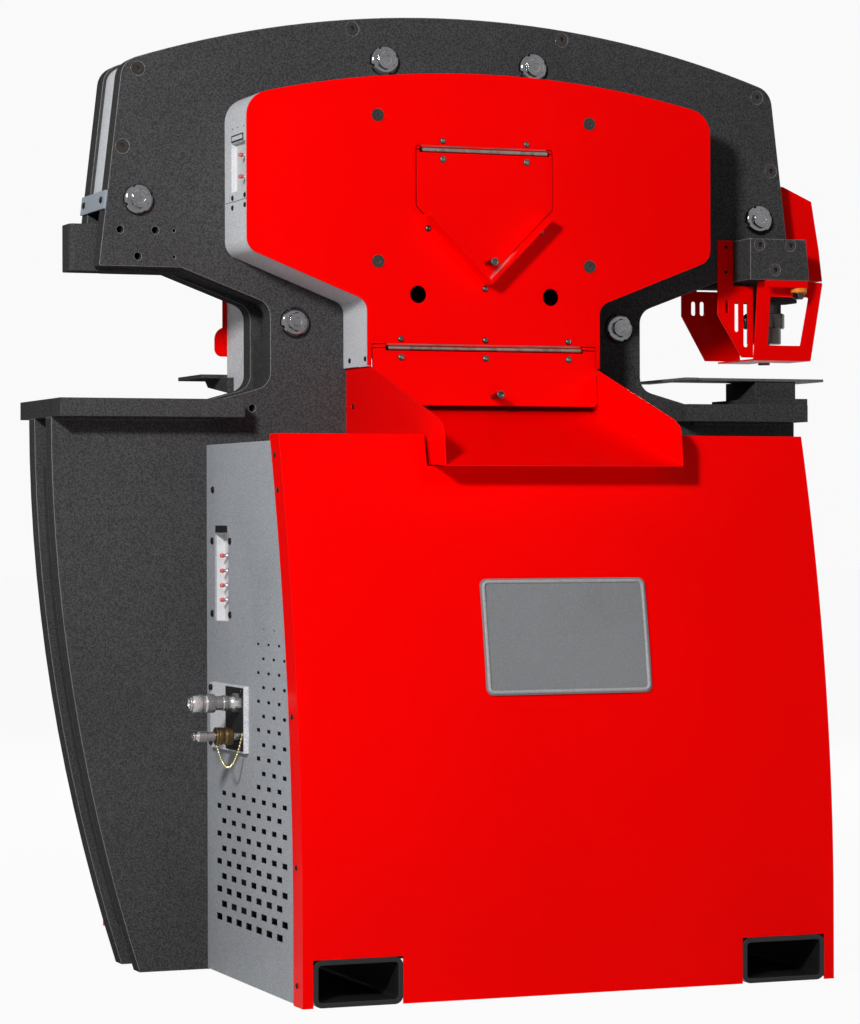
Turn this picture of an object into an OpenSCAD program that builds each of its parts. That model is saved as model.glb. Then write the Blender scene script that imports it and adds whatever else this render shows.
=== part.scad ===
// Ironworker machine: two arched frame plates with a guided beam between them, an open station at
// one end, a punch station at the other, two shears in the middle. Seen from the drop side.
// Millimetres, +Z up, floor at z = 0, the middle of the gap between the plates at y = 0.

/* [Frame plates] */
// Thickness of each frame plate
plate_t = 38; // [32:1:44]
// Space between the two plates
plate_gap = 76; // [70:1:90]
// Height of the arch above the underside of the arms
arch_rise = 456; // [430:1:480]
// Radius of the arch
arch_r = 1923; // [1700:1:2200]
// Half width of the frame at the bottom of the arms
arm_half_w = 663; // [655:1:690]
// Lean of the arm ends, degrees
end_lean = 6.8; // [4:0.1:9]
// Rounding of the arch corners
arch_corner_r = 38; // [20:1:50]
// Height of the underside of the arms above the tables
arm_rise = 229; // [222:1:240]
// Length of the level underside of an arm
arm_flat = 147; // [130:1:165]
// Half width of the neck
neck_half_w = 354.5; // [348:0.5:362]
// Rounding of the throat corners
throat_r = 30; // [15:1:40]
// Height of the upper throat corner above the tables
throat_top = 168.6; // [160:0.2:176]
// Height of the lower throat corner above the tables
throat_low = 26.9; // [19:0.1:32]
// Half width of the frame on the floor
foot_half_w = 594; // [570:1:620]
// How far the left foot bows out up to its table
left_bow = 154; // [130:1:170]
// How far the right foot bows out up to its table
right_bow = 74; // [50:1:95]

/* [Tables] */
// Height of the two tables
table_z = 986; // [970:1:995]
// Thickness of the tables
table_t = 31; // [25:1:36]
// Width of the tables
table_w = 275; // [230:1:300]
// Distance from the centre to the inner end of a table
table_inner_x = 421; // [405:1:440]
// Distance from the centre to the notch that takes the plates
table_notch_x = 452; // [446:1:470]
// Distance from the punch axis to the end of the right table
right_table_out = 20; // [0:1:40]

/* [Frame bars] */
// Thickness of the arch strip between the plates
strip_t = 22; // [16:1:26]
// Recess of the arch strip below the plate edges
strip_in = 6; // [2:1:10]
// Height of the arch strip's ends above the underside of the arms
strip_rise = 130; // [120:1:150]
// Height of the cross bracket on the left arm end
bracket_h = 32; // [20:1:34]
// Thickness of the cross bracket
bracket_t = 4; // [2:0.5:6]
// Thickness of the throat fillers
filler_t = 10; // [6:1:14]
// Height of the throat fillers
filler_h = 114; // [95:1:130]
// Thickness of the curved bars between the feet
foot_bar_t = 20; // [12:1:30]
// Recess of the curved bars
foot_bar_in = 14; // [8:1:24]
// Distance from the tables down to the curved bars
foot_bar_drop = 116; // [90:1:180]
// Width of a fork tube
tube_w = 152.4; // [120:0.1:180]
// Height of a fork tube
tube_h = 76.2; // [60:0.1:90]
// Wall of a fork tube
tube_wall = 8; // [5:0.5:12]
// Outer corner radius of a fork tube
tube_r = 14; // [10:1:18]
// Distance from the side of the cabinets to the middle of a fork tube
tube_in = 94.6; // [90:0.1:104]
// Clearance of a fork tube in the plates and panels
tube_clear = 0.5; // [0.3:0.1:1]

/* [Guides and screws] */
// Diameter of a guide adjuster flange
hub_d = 53; // [46:1:60]
// Thickness of a guide adjuster flange
hub_t = 11; // [8:1:14]
// Thread diameter of a guide adjuster
hub_thread_d = 32; // [26:1:36]
// Width across the flats of the guide nut
guide_nut_af = 30; // [24:1:34]
// Height of the guide nut
guide_nut_h = 13; // [8:1:18]
// Thickness of a bronze guide pad
pad_t = 12; // [8:1:16]
// Running gap between pads and beam
pad_gap = 0.3; // [0.2:0.1:0.6]
// Head diameter of the flush screws
flush_d = 24; // [20:1:28]
// Depth of the flush screw heads
flush_h = 10; // [8:1:14]
// Thread diameter of the flush screws
flush_thread_d = 12; // [8:1:14]
// Clearance round static screws and threads
screw_clear = 0.2; // [0.1:0.05:0.5]
// Tool holes in the arm ends
tool_hole_d = 13; // [10:0.5:14]

/* [Ram beam] */
// Side clearance of the beam between the plates
beam_clear = 3; // [2:0.5:5]
// Working stroke
stroke = 32; // [28:1:34]
// Reach of the end blocks beyond the arm ends
beam_out = 39; // [28:1:50]
// Distance from the underside of the arms down to the end blocks
beam_end_drop = 6; // [2:1:14]
// Height of the end blocks
beam_end_h = 81; // [70:1:90]
// Thickness of the end blocks
beam_end_t = 60; // [50:1:66]
// Height of the middle of the beam above the tables
beam_low = 102; // [100:1:108]
// Distance from the plate edge to the beam along the arch
beam_in = 55; // [48:1:70]
// Distance from the arm end to the beam between the plates
beam_side_in = 33; // [31:1:40]
// Gap between the beam and the throat fillers
beam_side_gap = 2.5; // [1:0.5:5]

/* [Shears] */
// Half width of the angle opening
angle_half_w = 110; // [95:1:118]
// Height of the angle opening's corner above the tables
angle_low = 220; // [214:1:228]
// Height of the angle opening
angle_h = 196; // [185:1:205]
// Half width of the flat bar opening
flat_half_w = 190; // [170:1:200]
// Feed height of the flat bar above the tables
feed_rise = 57; // [55:1:62]
// Height of the flat bar opening
flat_h = 42; // [35:1:46]
// Height of the flat blades
blade_h = 60; // [40:1:64]
// Thickness of the blades
blade_t = 20; // [14:1:26]
// Gap between the passing blades
blade_gap = 0.3; // [0.2:0.1:0.6]
// Upright wall height of the lower angle blade
angle_wall = 16; // [12:1:22]
// Opening left above the flat feed height
flat_open = 26; // [22:1:27]

/* [Hydraulics] */
// Distance from the centre to a cylinder
cyl_x = 268; // [258:1:275]
// Outer diameter of a cylinder barrel
barrel_d = 150; // [130:1:160]
// Bore of a cylinder barrel
barrel_bore = 110; // [90:1:116]
// Distance from the tables down to the cylinder heads
barrel_drop = 136; // [116:1:166]
// Length of a cylinder
barrel_l = 430; // [380:1:470]
// Height of the square cylinder head
head_h = 60; // [40:1:80]
// Diameter of a cylinder rod
rod_d = 56; // [45:1:62]
// Running gap of rod and piston
rod_gap = 0.05; // [0.03:0.01:0.09]
// Height of the pistons
piston_h = 70; // [50:1:90]
// Height of the oil reservoir
tank_h = 250; // [200:1:300]
// Depth of the oil reservoir
tank_d = 300; // [240:1:330]
// Diameter of the pump motor
motor_d = 200; // [160:1:230]
// Length of the pump motor
motor_l = 320; // [260:1:360]

/* [Front cover] */
// Depth of the front cover from the plate to its red face
cover_depth = 125; // [110:1:140]
// Sheet thickness of the cover walls
cover_wall = 3; // [2:0.5:5]
// Thickness of the red cover plate
cover_plate_t = 4; // [3:0.5:6]
// Half width of the cover
cover_half_w = 437; // [430:1:445]
// Distance from the top of the arch down to the cover
cover_drop = 114.5; // [105:0.5:126]
// Radius of the cover's top edge
cover_arch_r = 1811; // [1650:1:2100]
// Half width of the cover's neck
cover_neck_half_w = 219; // [214:1:224]
// Height of the cover's neck corner above the tables
cover_neck = 170; // [164:1:176]
// Slope of the cover's lower edges
cover_slope = 0.391; // [0.34:0.001:0.43]
// Height of the cover's lower edge above the tables
cover_low = 58; // [57:0.5:64]
// Height of the seam over the flat drop door above the tables
cover_plate_low = 97; // [94:1:102]

/* [Drop doors] */
// Half width of the angle drop door
angle_door_half_w = 128; // [122:1:134]
// Height of the seam over the angle drop door above the tables
angle_door_top = 443; // [439:1:448]
// Height above the tables where the door's V begins
angle_door_v = 337; // [329:1:344]
// Gap round the angle drop door
door_gap = 1.7; // [0.8:0.1:2]
// Depth of the V lip under the angle drop door
lip_depth = 38; // [25:1:45]
// Half length of the angle hinge
angle_hinge_half_l = 118; // [108:1:122]
// Half length of the flat hinge
flat_hinge_half_l = 182; // [170:1:200]
// Distance from a seam to the hinge axis below it
hinge_drop = 8; // [7:0.5:10]
// Diameter of the hinge barrels
hinge_d = 8.4; // [7:0.2:10]
// Diameter of the hinge pins
hinge_pin_d = 3.6; // [3:0.1:4.4]
// Radial running clearance of the hinge pins
hinge_clear = 0.05; // [0.03:0.01:0.09]
// Thickness of the hinge leaves
leaf_t = 2; // [1.5:0.1:2.5]
// Width of a hinge leaf
leaf_w = 22; // [16:1:26]
// Half width of the flat drop door
flat_door_half_w = 210.5; // [204:0.5:211]
// How far the flat drop door reaches below the tables
flat_door_low = 10; // [1:1:16]
// Outward rest angle of the flat drop door, degrees
flat_door_tilt = 4; // [2:0.5:5]
// Length of the door pulls
pull_l = 30; // [20:1:40]
// Diameter of the door pulls
pull_d = 10; // [8:0.5:14]

/* [Drop chute] */
// Half width inside the chute
chute_half_w = 212; // [211:0.5:215]
// Sheet thickness of the chute
chute_t = 2; // [1.5:0.5:3]
// Reach of the chute from the frame plate
chute_reach = 480; // [465:1:495]
// Height of the chute floor above the tables at the plate
chute_back = 13; // [4:1:17]
// Fall of the chute floor
chute_fall = 132; // [120:1:140]
// Height of the chute walls at the back
chute_wall = 43; // [31:1:44]
// Height of the chute walls at the front
chute_nose = 77; // [60:1:90]

/* [Cabinets] */
// Half width of the cabinets
cab_half_w = 474.4; // [470:0.2:480]
// Distance from the tables down to the top of the cabinets
cab_drop = 67; // [56:1:80]
// Depth of a cabinet on the floor
cab_foot_d = 516; // [505:1:530]
// Depth of a cabinet at its top
cab_top_d = 402; // [390:1:415]
// Height where the bowed front becomes upright
cab_bow_z = 120; // [90:1:180]
// Sheet thickness of the cabinets
cab_t = 3; // [2:0.5:4]
// Width of the side flanges of the red panels
cab_flange = 46; // [35:1:55]
// Depth of the top lip of the red panels
cab_lip = 40; // [25:1:50]
// Distance from the top of the cabinets down to the grey panels
side_drop = 11; // [4:1:20]
// Rows of cooling slots
slot_rows = 22; // [12:1:24]
// Height of the lowest row of slots
slot_low_z = 99; // [90:1:130]
// Step between rows of slots
slot_step_z = 23.7; // [22:0.1:25]
// Step between slots in a row
slot_step_y = 54; // [50:1:58]
// Width of the largest slots
slot_w = 29; // [20:1:34]
// Height of the largest slots
slot_h = 11; // [7:0.5:13]

/* [Grease points and couplers] */
// Width of a grease tray
tray_w = 76; // [40:1:84]
// Height of the lower grease tray
lower_tray_h = 150; // [120:1:170]
// Height of the upper grease tray
upper_tray_h = 84; // [70:1:96]
// Depth of the lower grease tray
tray_d = 18; // [14:1:34]
// Length of a grease fitting
fitting_l = 14; // [10:1:26]
// Height of the coupler manifold
manifold_h = 112; // [100:1:130]
// Depth of the coupler manifold along the panel
manifold_w = 190; // [150:1:200]
// Thickness of the coupler manifold
manifold_t = 8; // [6:0.5:12]
// Distance between the two couplers
coupler_step = 55; // [50:1:64]
// Largest diameter of the couplers
coupler_d = 32; // [28:1:38]
// Length of the female coupler
female_l = 88; // [80:1:100]
// Length of the male coupler
male_l = 82; // [76:1:96]
// Diameter of the chain beads
bead_d = 4; // [3:0.2:5]

/* [Badge] */
// Width of the blank badge plate
badge_w = 296; // [200:1:320]
// Height of the blank badge plate
badge_h = 190; // [100:1:220]
// Corner radius of the blank badge plate
badge_r = 12; // [4:1:20]
// Thickness of the blank badge plate
badge_t = 4; // [2:0.5:6]

/* [Rear cover] */
// Distance from the neck's edge to the rear cover's neck
rear_neck_in = 7.5; // [2.5:0.5:19]
// How far the rear cover's neck reaches below the tables
rear_low = 24; // [16:1:31]
// Height of the red rear plate above the tables
rear_plate_low = 114; // [109:1:126]
// Thickness of the finger guard
guard_t = 4; // [3:0.5:6]
// Height of the finger guard above the tables
finger_low = 90; // [84:1:96]
// Height of the finger guard itself
finger_h = 54; // [44:1:64]
// Half width of the finger guard
finger_half_w = 369; // [355:1:380]
// Depth of the feed table
feed_d = 146; // [120:1:180]
// Thickness of the feed table
feed_t = 7; // [5:0.5:10]
// Half width of the feed table
feed_half_w = 396; // [380:1:420]
// Width of the control box
box_w = 150; // [130:1:180]
// Height of the control box
box_h = 190; // [160:1:220]
// Depth of the control box
box_d = 70; // [55:1:90]
// Diameter of a push button
button_d = 22; // [18:1:26]
// Diameter of the stop button's mushroom
mushroom_d = 40; // [34:1:46]
// Travel of the push buttons
button_travel = 4; // [3:0.5:6]

/* [Punch station] */
// Distance from the arm end to the punch axis
punch_in = 18; // [13:1:23]
// Width of a stripper block
block_w = 118; // [105:1:125]
// Height of a stripper block
block_h = 75; // [65:1:80]
// Depth of a stripper block
block_d = 71; // [65:1:80]
// Height of the punch holder
holder_h = 28; // [22:1:32]
// Diameter of the punch stem and sleeve
stem_d = 64; // [56:1:70]
// Diameter of the coupling nut
nut_d = 77; // [70:1:82]
// Height of the coupling nut
nut_h = 28; // [24:1:32]
// Diameter of the punch
punch_d = 22; // [16:1:26]
// Clearance of the punch in the die
punch_gap = 0.5; // [0.3:0.1:1]
// How far the punch enters the die
punch_entry = 4; // [2:0.5:6]
// Height of the gauge table above the right table
gauge_rise = 51; // [47:1:54]
// Thickness of the gauge table
gauge_t = 5; // [4:0.5:8]
// Distance from the punch axis to the end of the gauge table
gauge_out = 91; // [60:1:100]
// Depth of the gauge table across the machine
gauge_d = 106; // [90:1:120]
// Length of the gauge rail across the machine
gauge_rail_l = 214; // [180:1:240]
// Width of the gauge rail
gauge_rail_w = 26; // [18:1:32]
// Width of the die holder along the machine
die_holder_w = 82; // [76:1:90]
// Depth of the die holder across the machine
die_holder_d = 125; // [110:1:140]
// Diameter of the round die
die_d = 46; // [40:1:52]
// Height of the round die
die_h = 30; // [24:1:34]
// Thickness of the die base
die_base_t = 13; // [10:1:16]
// Thickness of the guard sheets
sheet_t = 3; // [2:0.5:4]
// Reach of the end shield beyond the arm end
end_guard_out = 85; // [72:1:97]
// Height of the end shield
end_guard_h = 175; // [160:1:190]
// Width of a guard plate beside its block
guard_side_w = 32; // [26:1:36]
// Width of the front guard plate under its block
guard_low_w = 40; // [34:1:46]
// Width of the rear guard plate under its block
rear_guard_w = 90; // [60:1:94]
// Reach of the guard plates below the arms
guard_drop = 140; // [120:1:144]
// Diameter of the guard's pivot bolt
pivot_d = 16; // [12:0.5:18]
// Running clearance of the guard on its bolt
pivot_clear = 0.06; // [0.03:0.01:0.09]
// Diameter of the orange washer
bumper_d = 30; // [26:1:34]

/* [Hidden] */
$fn = 48;
arm_z = table_z + arm_rise;
frame_h = arm_z + arch_rise;
arm_inner_x = arm_half_w - arm_flat;
throat_top_z = table_z + throat_top;
throat_low_z = table_z + throat_low;
left_waist = foot_half_w + left_bow;
right_waist = foot_half_w + right_bow;
strip_end_z = arm_z + strip_rise;
filler_top_z = table_z + filler_h;
foot_bar_top = table_z - foot_bar_drop;
tube_x = cab_half_w - tube_in;
beam_half_l = arm_half_w + beam_out;
beam_end_z = arm_z - beam_end_drop;
beam_low_z = table_z + beam_low;
angle_low_z = table_z + angle_low;
angle_top_z = angle_low_z + angle_h;
flat_feed_z = table_z + feed_rise;
flat_top_z = flat_feed_z + flat_h;
barrel_top_z = table_z - barrel_drop;
cover_top_z = frame_h - cover_drop;
cover_neck_z = table_z + cover_neck;
cover_low_z = table_z + cover_low;
cover_plate_low_z = table_z + cover_plate_low;
angle_door_top_z = table_z + angle_door_top;
angle_door_v_z = table_z + angle_door_v;
flat_door_low_z = table_z - flat_door_low;
chute_back_z = table_z + chute_back;
chute_front_z = chute_back_z - chute_fall;
chute_wall_z = chute_back_z + chute_wall;
chute_nose_z = chute_front_z + chute_nose;
cab_h = table_z - cab_drop;
side_panel_h = cab_h - side_drop;
rear_neck_half_w = neck_half_w - rear_neck_in;
rear_low_z = table_z - rear_low;
rear_plate_low_z = table_z + rear_plate_low;
finger_low_z = table_z + finger_low;
punch_x = arm_half_w - punch_in;
right_table_x = punch_x + right_table_out;
gauge_z = table_z + gauge_rise;
arch_cz = frame_h - arch_r;
half_gap = plate_gap / 2;
face_y = half_gap + plate_t;
table_low_z = table_z - table_t;
end_slope = -tan(end_lean);
end_stretch = 1 / cos(end_lean);
beam_half_t = half_gap - beam_clear;
filler_x = neck_half_w - 6;
beam_neck_x = filler_x - filler_t - beam_side_gap;
cover_y = face_y + cover_depth;
cover_in_y = cover_y - cover_plate_t;
cover_cz = cover_top_z - cover_arch_r;
cover_stretch = sqrt(1 + cover_slope * cover_slope);
cab_bow_d = cab_foot_d - cab_top_d;
cab_bow_h = cab_h - cab_bow_z;
cab_in_x = cab_half_w - cab_t;
punch_low_z = gauge_z + stroke - punch_entry;
holder_z = beam_end_z - holder_h;
// Guide adjuster places on one side of the centre
guide_end_z = arm_z + hub_d * 2.17;
guide_top_x = hub_d * 2.685;
guide_at = [[end_x(guide_end_z, hub_d * 1.04), guide_end_z],
  [neck_half_w - hub_d * 0.83, throat_top_z - throat_r * 1.02],
  [guide_top_x, on_arc(guide_top_x, arch_r - hub_d * 1.444, arch_cz)]];
// Flush screw places on one side of the centre
strip_mid = strip_in + strip_t / 2;
flush_top_x = flush_d * 8.37;
flush_corner_x = end_top_x(strip_mid) - flush_d * 0.5;
flush_end_z = strip_end_z + flush_d * 3.17;
flush_at = [
  [flush_corner_x, on_arc(flush_corner_x, arch_r - strip_mid, arch_cz) - flush_d * 0.13],
  [end_x(flush_end_z, strip_mid), flush_end_z],
  [flush_top_x, on_arc(flush_top_x, arch_r - strip_mid, arch_cz)]];
// Tool hole places on one arm end
tool_z = arm_z + block_h * 0.84;
tool_low_z = arm_z + block_h * 7 / 30;
tool_at = [[arm_half_w - block_w * 37.5 / 118, tool_z], [arm_half_w - block_w * 100.5 / 118, tool_z],
  [arm_half_w - block_w * 69 / 118, tool_low_z]];
pin_x = arm_half_w - block_w - guard_side_w / 2;
pin_at = [[pin_x, tool_z], [pin_x, tool_low_z]];
pin_hole_d = 6;
sides = [-1, 1];
dark = [0.16, 0.16, 0.17];
grey = [0.50, 0.53, 0.56];
red = [0.85, 0.02, 0.02];
steel = [0.62, 0.63, 0.65];
black = [0.08, 0.08, 0.08];

// Outline helpers

function xy(p) = [p[0], p[1]];
function unit(v) = v / norm(v);

// One corner a-b-c rounded with radius r
function corner(a, b, c, r, n) =
  let (u = unit(a - b), w = unit(c - b), half = acos(max(-1, min(1, u * w))) / 2)
  r <= 0 || half > 89 ? [b] :
  let (reach = r / tan(half), centre = b + unit(u + w) * r / sin(half))
  let (p = b + u * reach - centre, q = b + w * reach - centre)
  let (from = atan2(p[1], p[0]), turn = (atan2(q[1], q[0]) - from + 540) % 360 - 180)
  [for (i = [0:n]) centre + r * [cos(from + turn * i / n), sin(from + turn * i / n)]];

// Closed outline of [x, y, radius] points with its corners rounded
function rounded(p, n = 6) =
  let (k = len(p))
  [for (i = [0:k - 1]) each corner(xy(p[(i + k - 1) % k]), xy(p[i]), xy(p[(i + 1) % k]), p[i][2], n)];

function mirrored(p) = [for (i = [len(p) - 1:-1:0]) [-p[i][0], p[i][1], p[i][2]]];
function on_arc(x, r, cz) = cz + sqrt(r * r - x * x);
function arch(half, r, cz, n = 32) =
  [for (i = [0:n]) let (x = half * (1 - 2 * i / n)) [x, on_arc(x, r, cz), 0]];

// A flat shape in x and z, thick from y0 to y0 + t
module upright(y0, t) {
  translate([0, y0 + t, 0])
    rotate([90, 0, 0])
      linear_extrude(t) children();
}

// A profile in y and z, long from x0 to x0 + l
module along_x(x0, l) {
  translate([x0, 0, 0])
    rotate([90, 0, 90])
      linear_extrude(l) children();
}

module box(low, high) {
  translate(low) cube(high - low);
}

// A cylinder along y from y0 to y1
module rod_y(x, z, y0, y1, r) {
  translate([x, max(y0, y1), z])
    rotate([90, 0, 0])
      cylinder(r = r, h = abs(y1 - y0));
}

// A cylinder along x from x0 to x1
module rod_x(y, z, x0, x1, r) {
  translate([min(x0, x1), y, z])
    rotate([0, 90, 0])
      cylinder(r = r, h = abs(x1 - x0));
}

// Frame plates

function end_x(z, d) = arm_half_w + end_slope * (z - arm_z) - d * end_stretch;
function end_top_x(d) =
  let (x0 = end_x(frame_h - 100, d), x1 = end_x(on_arc(x0, arch_r - d, arch_cz), d))
  end_x(on_arc(x1, arch_r - d, arch_cz), d);

// Bowed foot edge: a parabola that is upright under the table
function foot_edge(waist, d = 0, top = table_low_z, low = 0, n = 14) =
  [for (i = [0:n]) let (z = low + (top - low) * i / n, h = 1 - z / table_low_z)
    [waist - (waist - foot_half_w) * h * h - d, z, 0]];

function frame_half(waist) = concat(foot_edge(waist), [
  [table_notch_x, table_low_z, 0],
  [table_notch_x, table_z, 0],
  [neck_half_w, throat_low_z, throat_r],
  [neck_half_w, throat_top_z, throat_r],
  [arm_inner_x, arm_z, 14],
  [arm_half_w, arm_z, 3],
  [end_top_x(0), on_arc(end_top_x(0), arch_r, arch_cz), arch_corner_r]]);

// Outline of the arch at a distance d inside the plate edge, closed along the height low
function arch_half(d, low) = [
  [end_x(low, d), low, 0],
  [end_top_x(d), on_arc(end_top_x(d), arch_r - d, arch_cz), max(arch_corner_r - d, 5)]];
function arch_outline(d, low) = rounded(concat(arch_half(d, low),
  arch(end_top_x(d) - 50, arch_r - d, arch_cz), mirrored(arch_half(d, low))));

// Opening for angles: an upright square corner pointing down
function angle_outline(half, low, top) = [[-half, top], [-half, low + half], [0, low],
  [half, low + half], [half, top]];

module frame_plate(y0, flat_low) {
  difference() {
    upright(y0, plate_t)
      polygon(rounded(concat(frame_half(right_waist),
        arch(end_top_x(0) - 50, arch_r, arch_cz), mirrored(frame_half(left_waist)))));
    for (s = sides) {
      for (p = guide_at)
        rod_y(s * p[0], p[1], y0 - 1, y0 + plate_t + 1, hub_thread_d / 2 + screw_clear);
      for (p = flush_at) {
        rod_y(s * p[0], p[1], y0 - 1, y0 + plate_t + 1, flush_thread_d / 2 + screw_clear);
        rod_y(s * p[0], p[1], sign(y0) * (face_y - flush_h), sign(y0) * (face_y + 1),
          flush_d / 2 + screw_clear);
      }
      for (p = tool_at)
        rod_y(s * p[0], p[1], y0 - 1, y0 + plate_t + 1, tool_hole_d / 2);
      for (p = pin_at)
        rod_y(s * p[0], p[1], y0 - 1, y0 + plate_t + 1, pin_hole_d / 2);
      rod_y(s * (neck_half_w + 33.5), table_low_z + 18, y0 - 1, y0 + plate_t + 1, tool_hole_d / 2);
      // Window for a cylinder, its top edge is the cylinder's seat
      box([s * cyl_x - barrel_d / 2 - 4, y0 - 1, barrel_top_z - barrel_l - 30],
        [s * cyl_x + barrel_d / 2 + 4, y0 + plate_t + 1, barrel_top_z]);
      // Notch for a fork tube
      box([s * tube_x - tube_w / 2 - tube_clear, y0 - 1, -1],
        [s * tube_x + tube_w / 2 + tube_clear, y0 + plate_t + 1, tube_h + tube_clear]);
    }
    upright(y0 - 1, plate_t + 2)
      polygon(angle_outline(angle_half_w, angle_low_z, angle_top_z));
    box([-flat_half_w, y0 - 1, flat_low], [flat_half_w, y0 + plate_t + 1, flat_top_z]);
  }
}

module front_plate() {
  color(dark) frame_plate(-face_y, chute_back_z);
}

module rear_plate() {
  color(dark) frame_plate(half_gap, flat_feed_z - blade_h);
}

module throat_fillers() {
  color(dark)
    for (s = sides)
      box([s > 0 ? filler_x - filler_t : -filler_x, -half_gap, table_z],
        [s > 0 ? filler_x : filler_t - filler_x, half_gap, filler_top_z]);
}

module foot_bar(waist, s) {
  outer = foot_edge(waist, foot_bar_in, foot_bar_top, tube_h);
  inner = foot_edge(waist, foot_bar_in + foot_bar_t, foot_bar_top, tube_h);
  upright(-half_gap, plate_gap)
    polygon([for (p = concat(outer, [for (i = [len(inner) - 1:-1:0]) inner[i]])) [s * p[0], p[1]]]);
}

module foot_bars() {
  color(dark) {
    foot_bar(left_waist, -1);
    foot_bar(right_waist, 1);
  }
}

module arch_strip() {
  color(grey) {
    difference() {
      upright(-half_gap, plate_gap) polygon(arch_outline(strip_in, strip_end_z));
      upright(-half_gap - 1, plate_gap + 2) polygon(arch_outline(strip_in + strip_t, strip_end_z - 9));
      for (s = sides, p = flush_at)
        rod_y(s * p[0], p[1], -half_gap - 1, half_gap + 1, flush_thread_d / 2 + screw_clear);
    }
    // Cross bracket on the left arm end
    bracket_z = strip_end_z - bracket_h;
    upright(-face_y, 2 * face_y)
      polygon([
        [-end_x(bracket_z, 0), bracket_z],
        [-end_x(bracket_z, -bracket_t), bracket_z],
        [-end_x(strip_end_z, -bracket_t), strip_end_z],
        [-end_x(strip_end_z, 0), strip_end_z]]);
  }
}

module table_plate(outer_x, s) {
  difference() {
    upright(-table_w / 2, table_w)
      polygon([for (p = [[table_inner_x, table_low_z], [outer_x, table_low_z], [outer_x, table_z],
        [table_inner_x, table_z]]) [s * p[0], p[1]]]);
    box([s > 0 ? table_inner_x - 1 : -table_notch_x, -face_y - screw_clear, table_low_z - 1],
      [s > 0 ? table_notch_x : 1 - table_inner_x, face_y + screw_clear, table_z + 1]);
  }
}

module left_table() {
  color(dark) table_plate(left_waist, -1);
}

module right_table() {
  color(dark) table_plate(right_table_x, 1);
}

function tube_outline(w, h, r, low) = rounded([[-w / 2, low, r], [w / 2, low, r],
  [w / 2, low + h, r], [-w / 2, low + h, r]]);

module fork_tubes() {
  length = 2 * (face_y + cab_foot_d);
  color(black)
    for (s = sides)
      translate([s * tube_x, 0, 0])
        difference() {
          upright(-length / 2, length) polygon(tube_outline(tube_w, tube_h, tube_r, 0));
          upright(-length / 2 - 1, length + 2)
            polygon(tube_outline(tube_w - 2 * tube_wall, tube_h - 2 * tube_wall,
              tube_r - tube_wall, tube_wall));
        }
}

// Screws, guides and pads

// Socket screw with its head on the face at y0, its thread running towards y1
module socket_screw(x, z, y0, y1, head_d, head_h, thread_d) {
  way = sign(y1 - y0);
  difference() {
    union() {
      rod_y(x, z, y0, y0 + way * head_h, head_d / 2);
      rod_y(x, z, y0 + way * head_h * 0.9, y1, thread_d / 2);
    }
    translate([x, y0 + way * head_h * 0.5, z])
      rotate([way * 90, 0, 0])
        cylinder(d = thread_d * 0.9, h = head_h, $fn = 6);
  }
}

cover_screw_d = 22;
cover_screw_x = cover_neck_half_w - cover_screw_d * 0.882;
cover_screw_at = [[cover_screw_x, cover_top_z - cover_screw_d * 3.586],
  [cover_screw_x, cover_neck_z + cover_screw_d * 3.127]];

module socket_screws() {
  color(black) {
    for (s = sides, f = sides, p = flush_at)
      socket_screw(s * p[0], p[1], f * face_y, f * (half_gap - strip_t), flush_d, flush_h, flush_thread_d);
    for (f = sides, p = tool_at)
      socket_screw(p[0], p[1], f * (face_y + block_d), f * half_gap, tool_hole_d * 1.6, 12,
        tool_hole_d - 2 * screw_clear);
    for (s = sides, f = sides, p = cover_screw_at)
      socket_screw(s * p[0], p[1], f * (cover_y + 2), f * face_y, cover_screw_d, 6, 10);
  }
}

// Round head screw on the face at y0 facing front (f = -1) or rear (f = 1)
module button_screw_y(x, z, y0, f) {
  rod_y(x, z, y0, y0 + f * 3, 5.6);
}

module button_screw_x(y, z, x0, f) {
  rod_x(y, z, x0, x0 + f * 2.5, 4.5);
}

module panel_screws() {
  color(black) {
    for (s = sides, f = sides, z = cab_h * [0.037, 0.2416, 0.5027, 0.9, 0.962])
      button_screw_x(f * (cab_front(z) - cab_flange * 0.6), z, s * cab_half_w, s);
    for (s = sides, f = sides)
      button_screw_x(f * (face_y + 38), cab_h * 0.903, s * cab_in_x, s);
    for (y = tray_w * [0.414, -0.493], z = upper_tray_h * [-0.82, -0.62])
      button_screw_x(upper_tray_y + y, upper_tray_z + z, -cover_half_w, -1);
    for (y = tray_w * [0.671, -0.645], z = lower_tray_h * [0.415, -0.415])
      button_screw_x(tray_y + y, tray_z + z, -cab_in_x, -1);
    for (y = cover_depth * [0.27, 0.91])
      button_screw_x(-face_y - y, cover_low_z + 12, -cover_neck_half_w, -1);
    button_screw_x(-face_y - 37, chute_back_z - 23, -chute_half_w - chute_t, -1);
    for (s = sides)
      button_screw_y(s * angle_door_half_w * 0.836, angle_door_v_z - angle_door_half_w * 0.305, -cover_y, -1);
    button_screw_y(0, angle_door_v_z - angle_door_half_w * 1.109, -cover_y, -1);
    for (x = flat_hinge_half_l * [-0.867, 0, 0.867])
      button_screw_y(x, cover_plate_low_z + hinge_drop, -cover_y, -1);
    for (x = angle_hinge_half_l * [-0.669, 0.669])
      button_screw_y(x, angle_door_top_z + hinge_drop, -cover_y, -1);
  }
}

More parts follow.
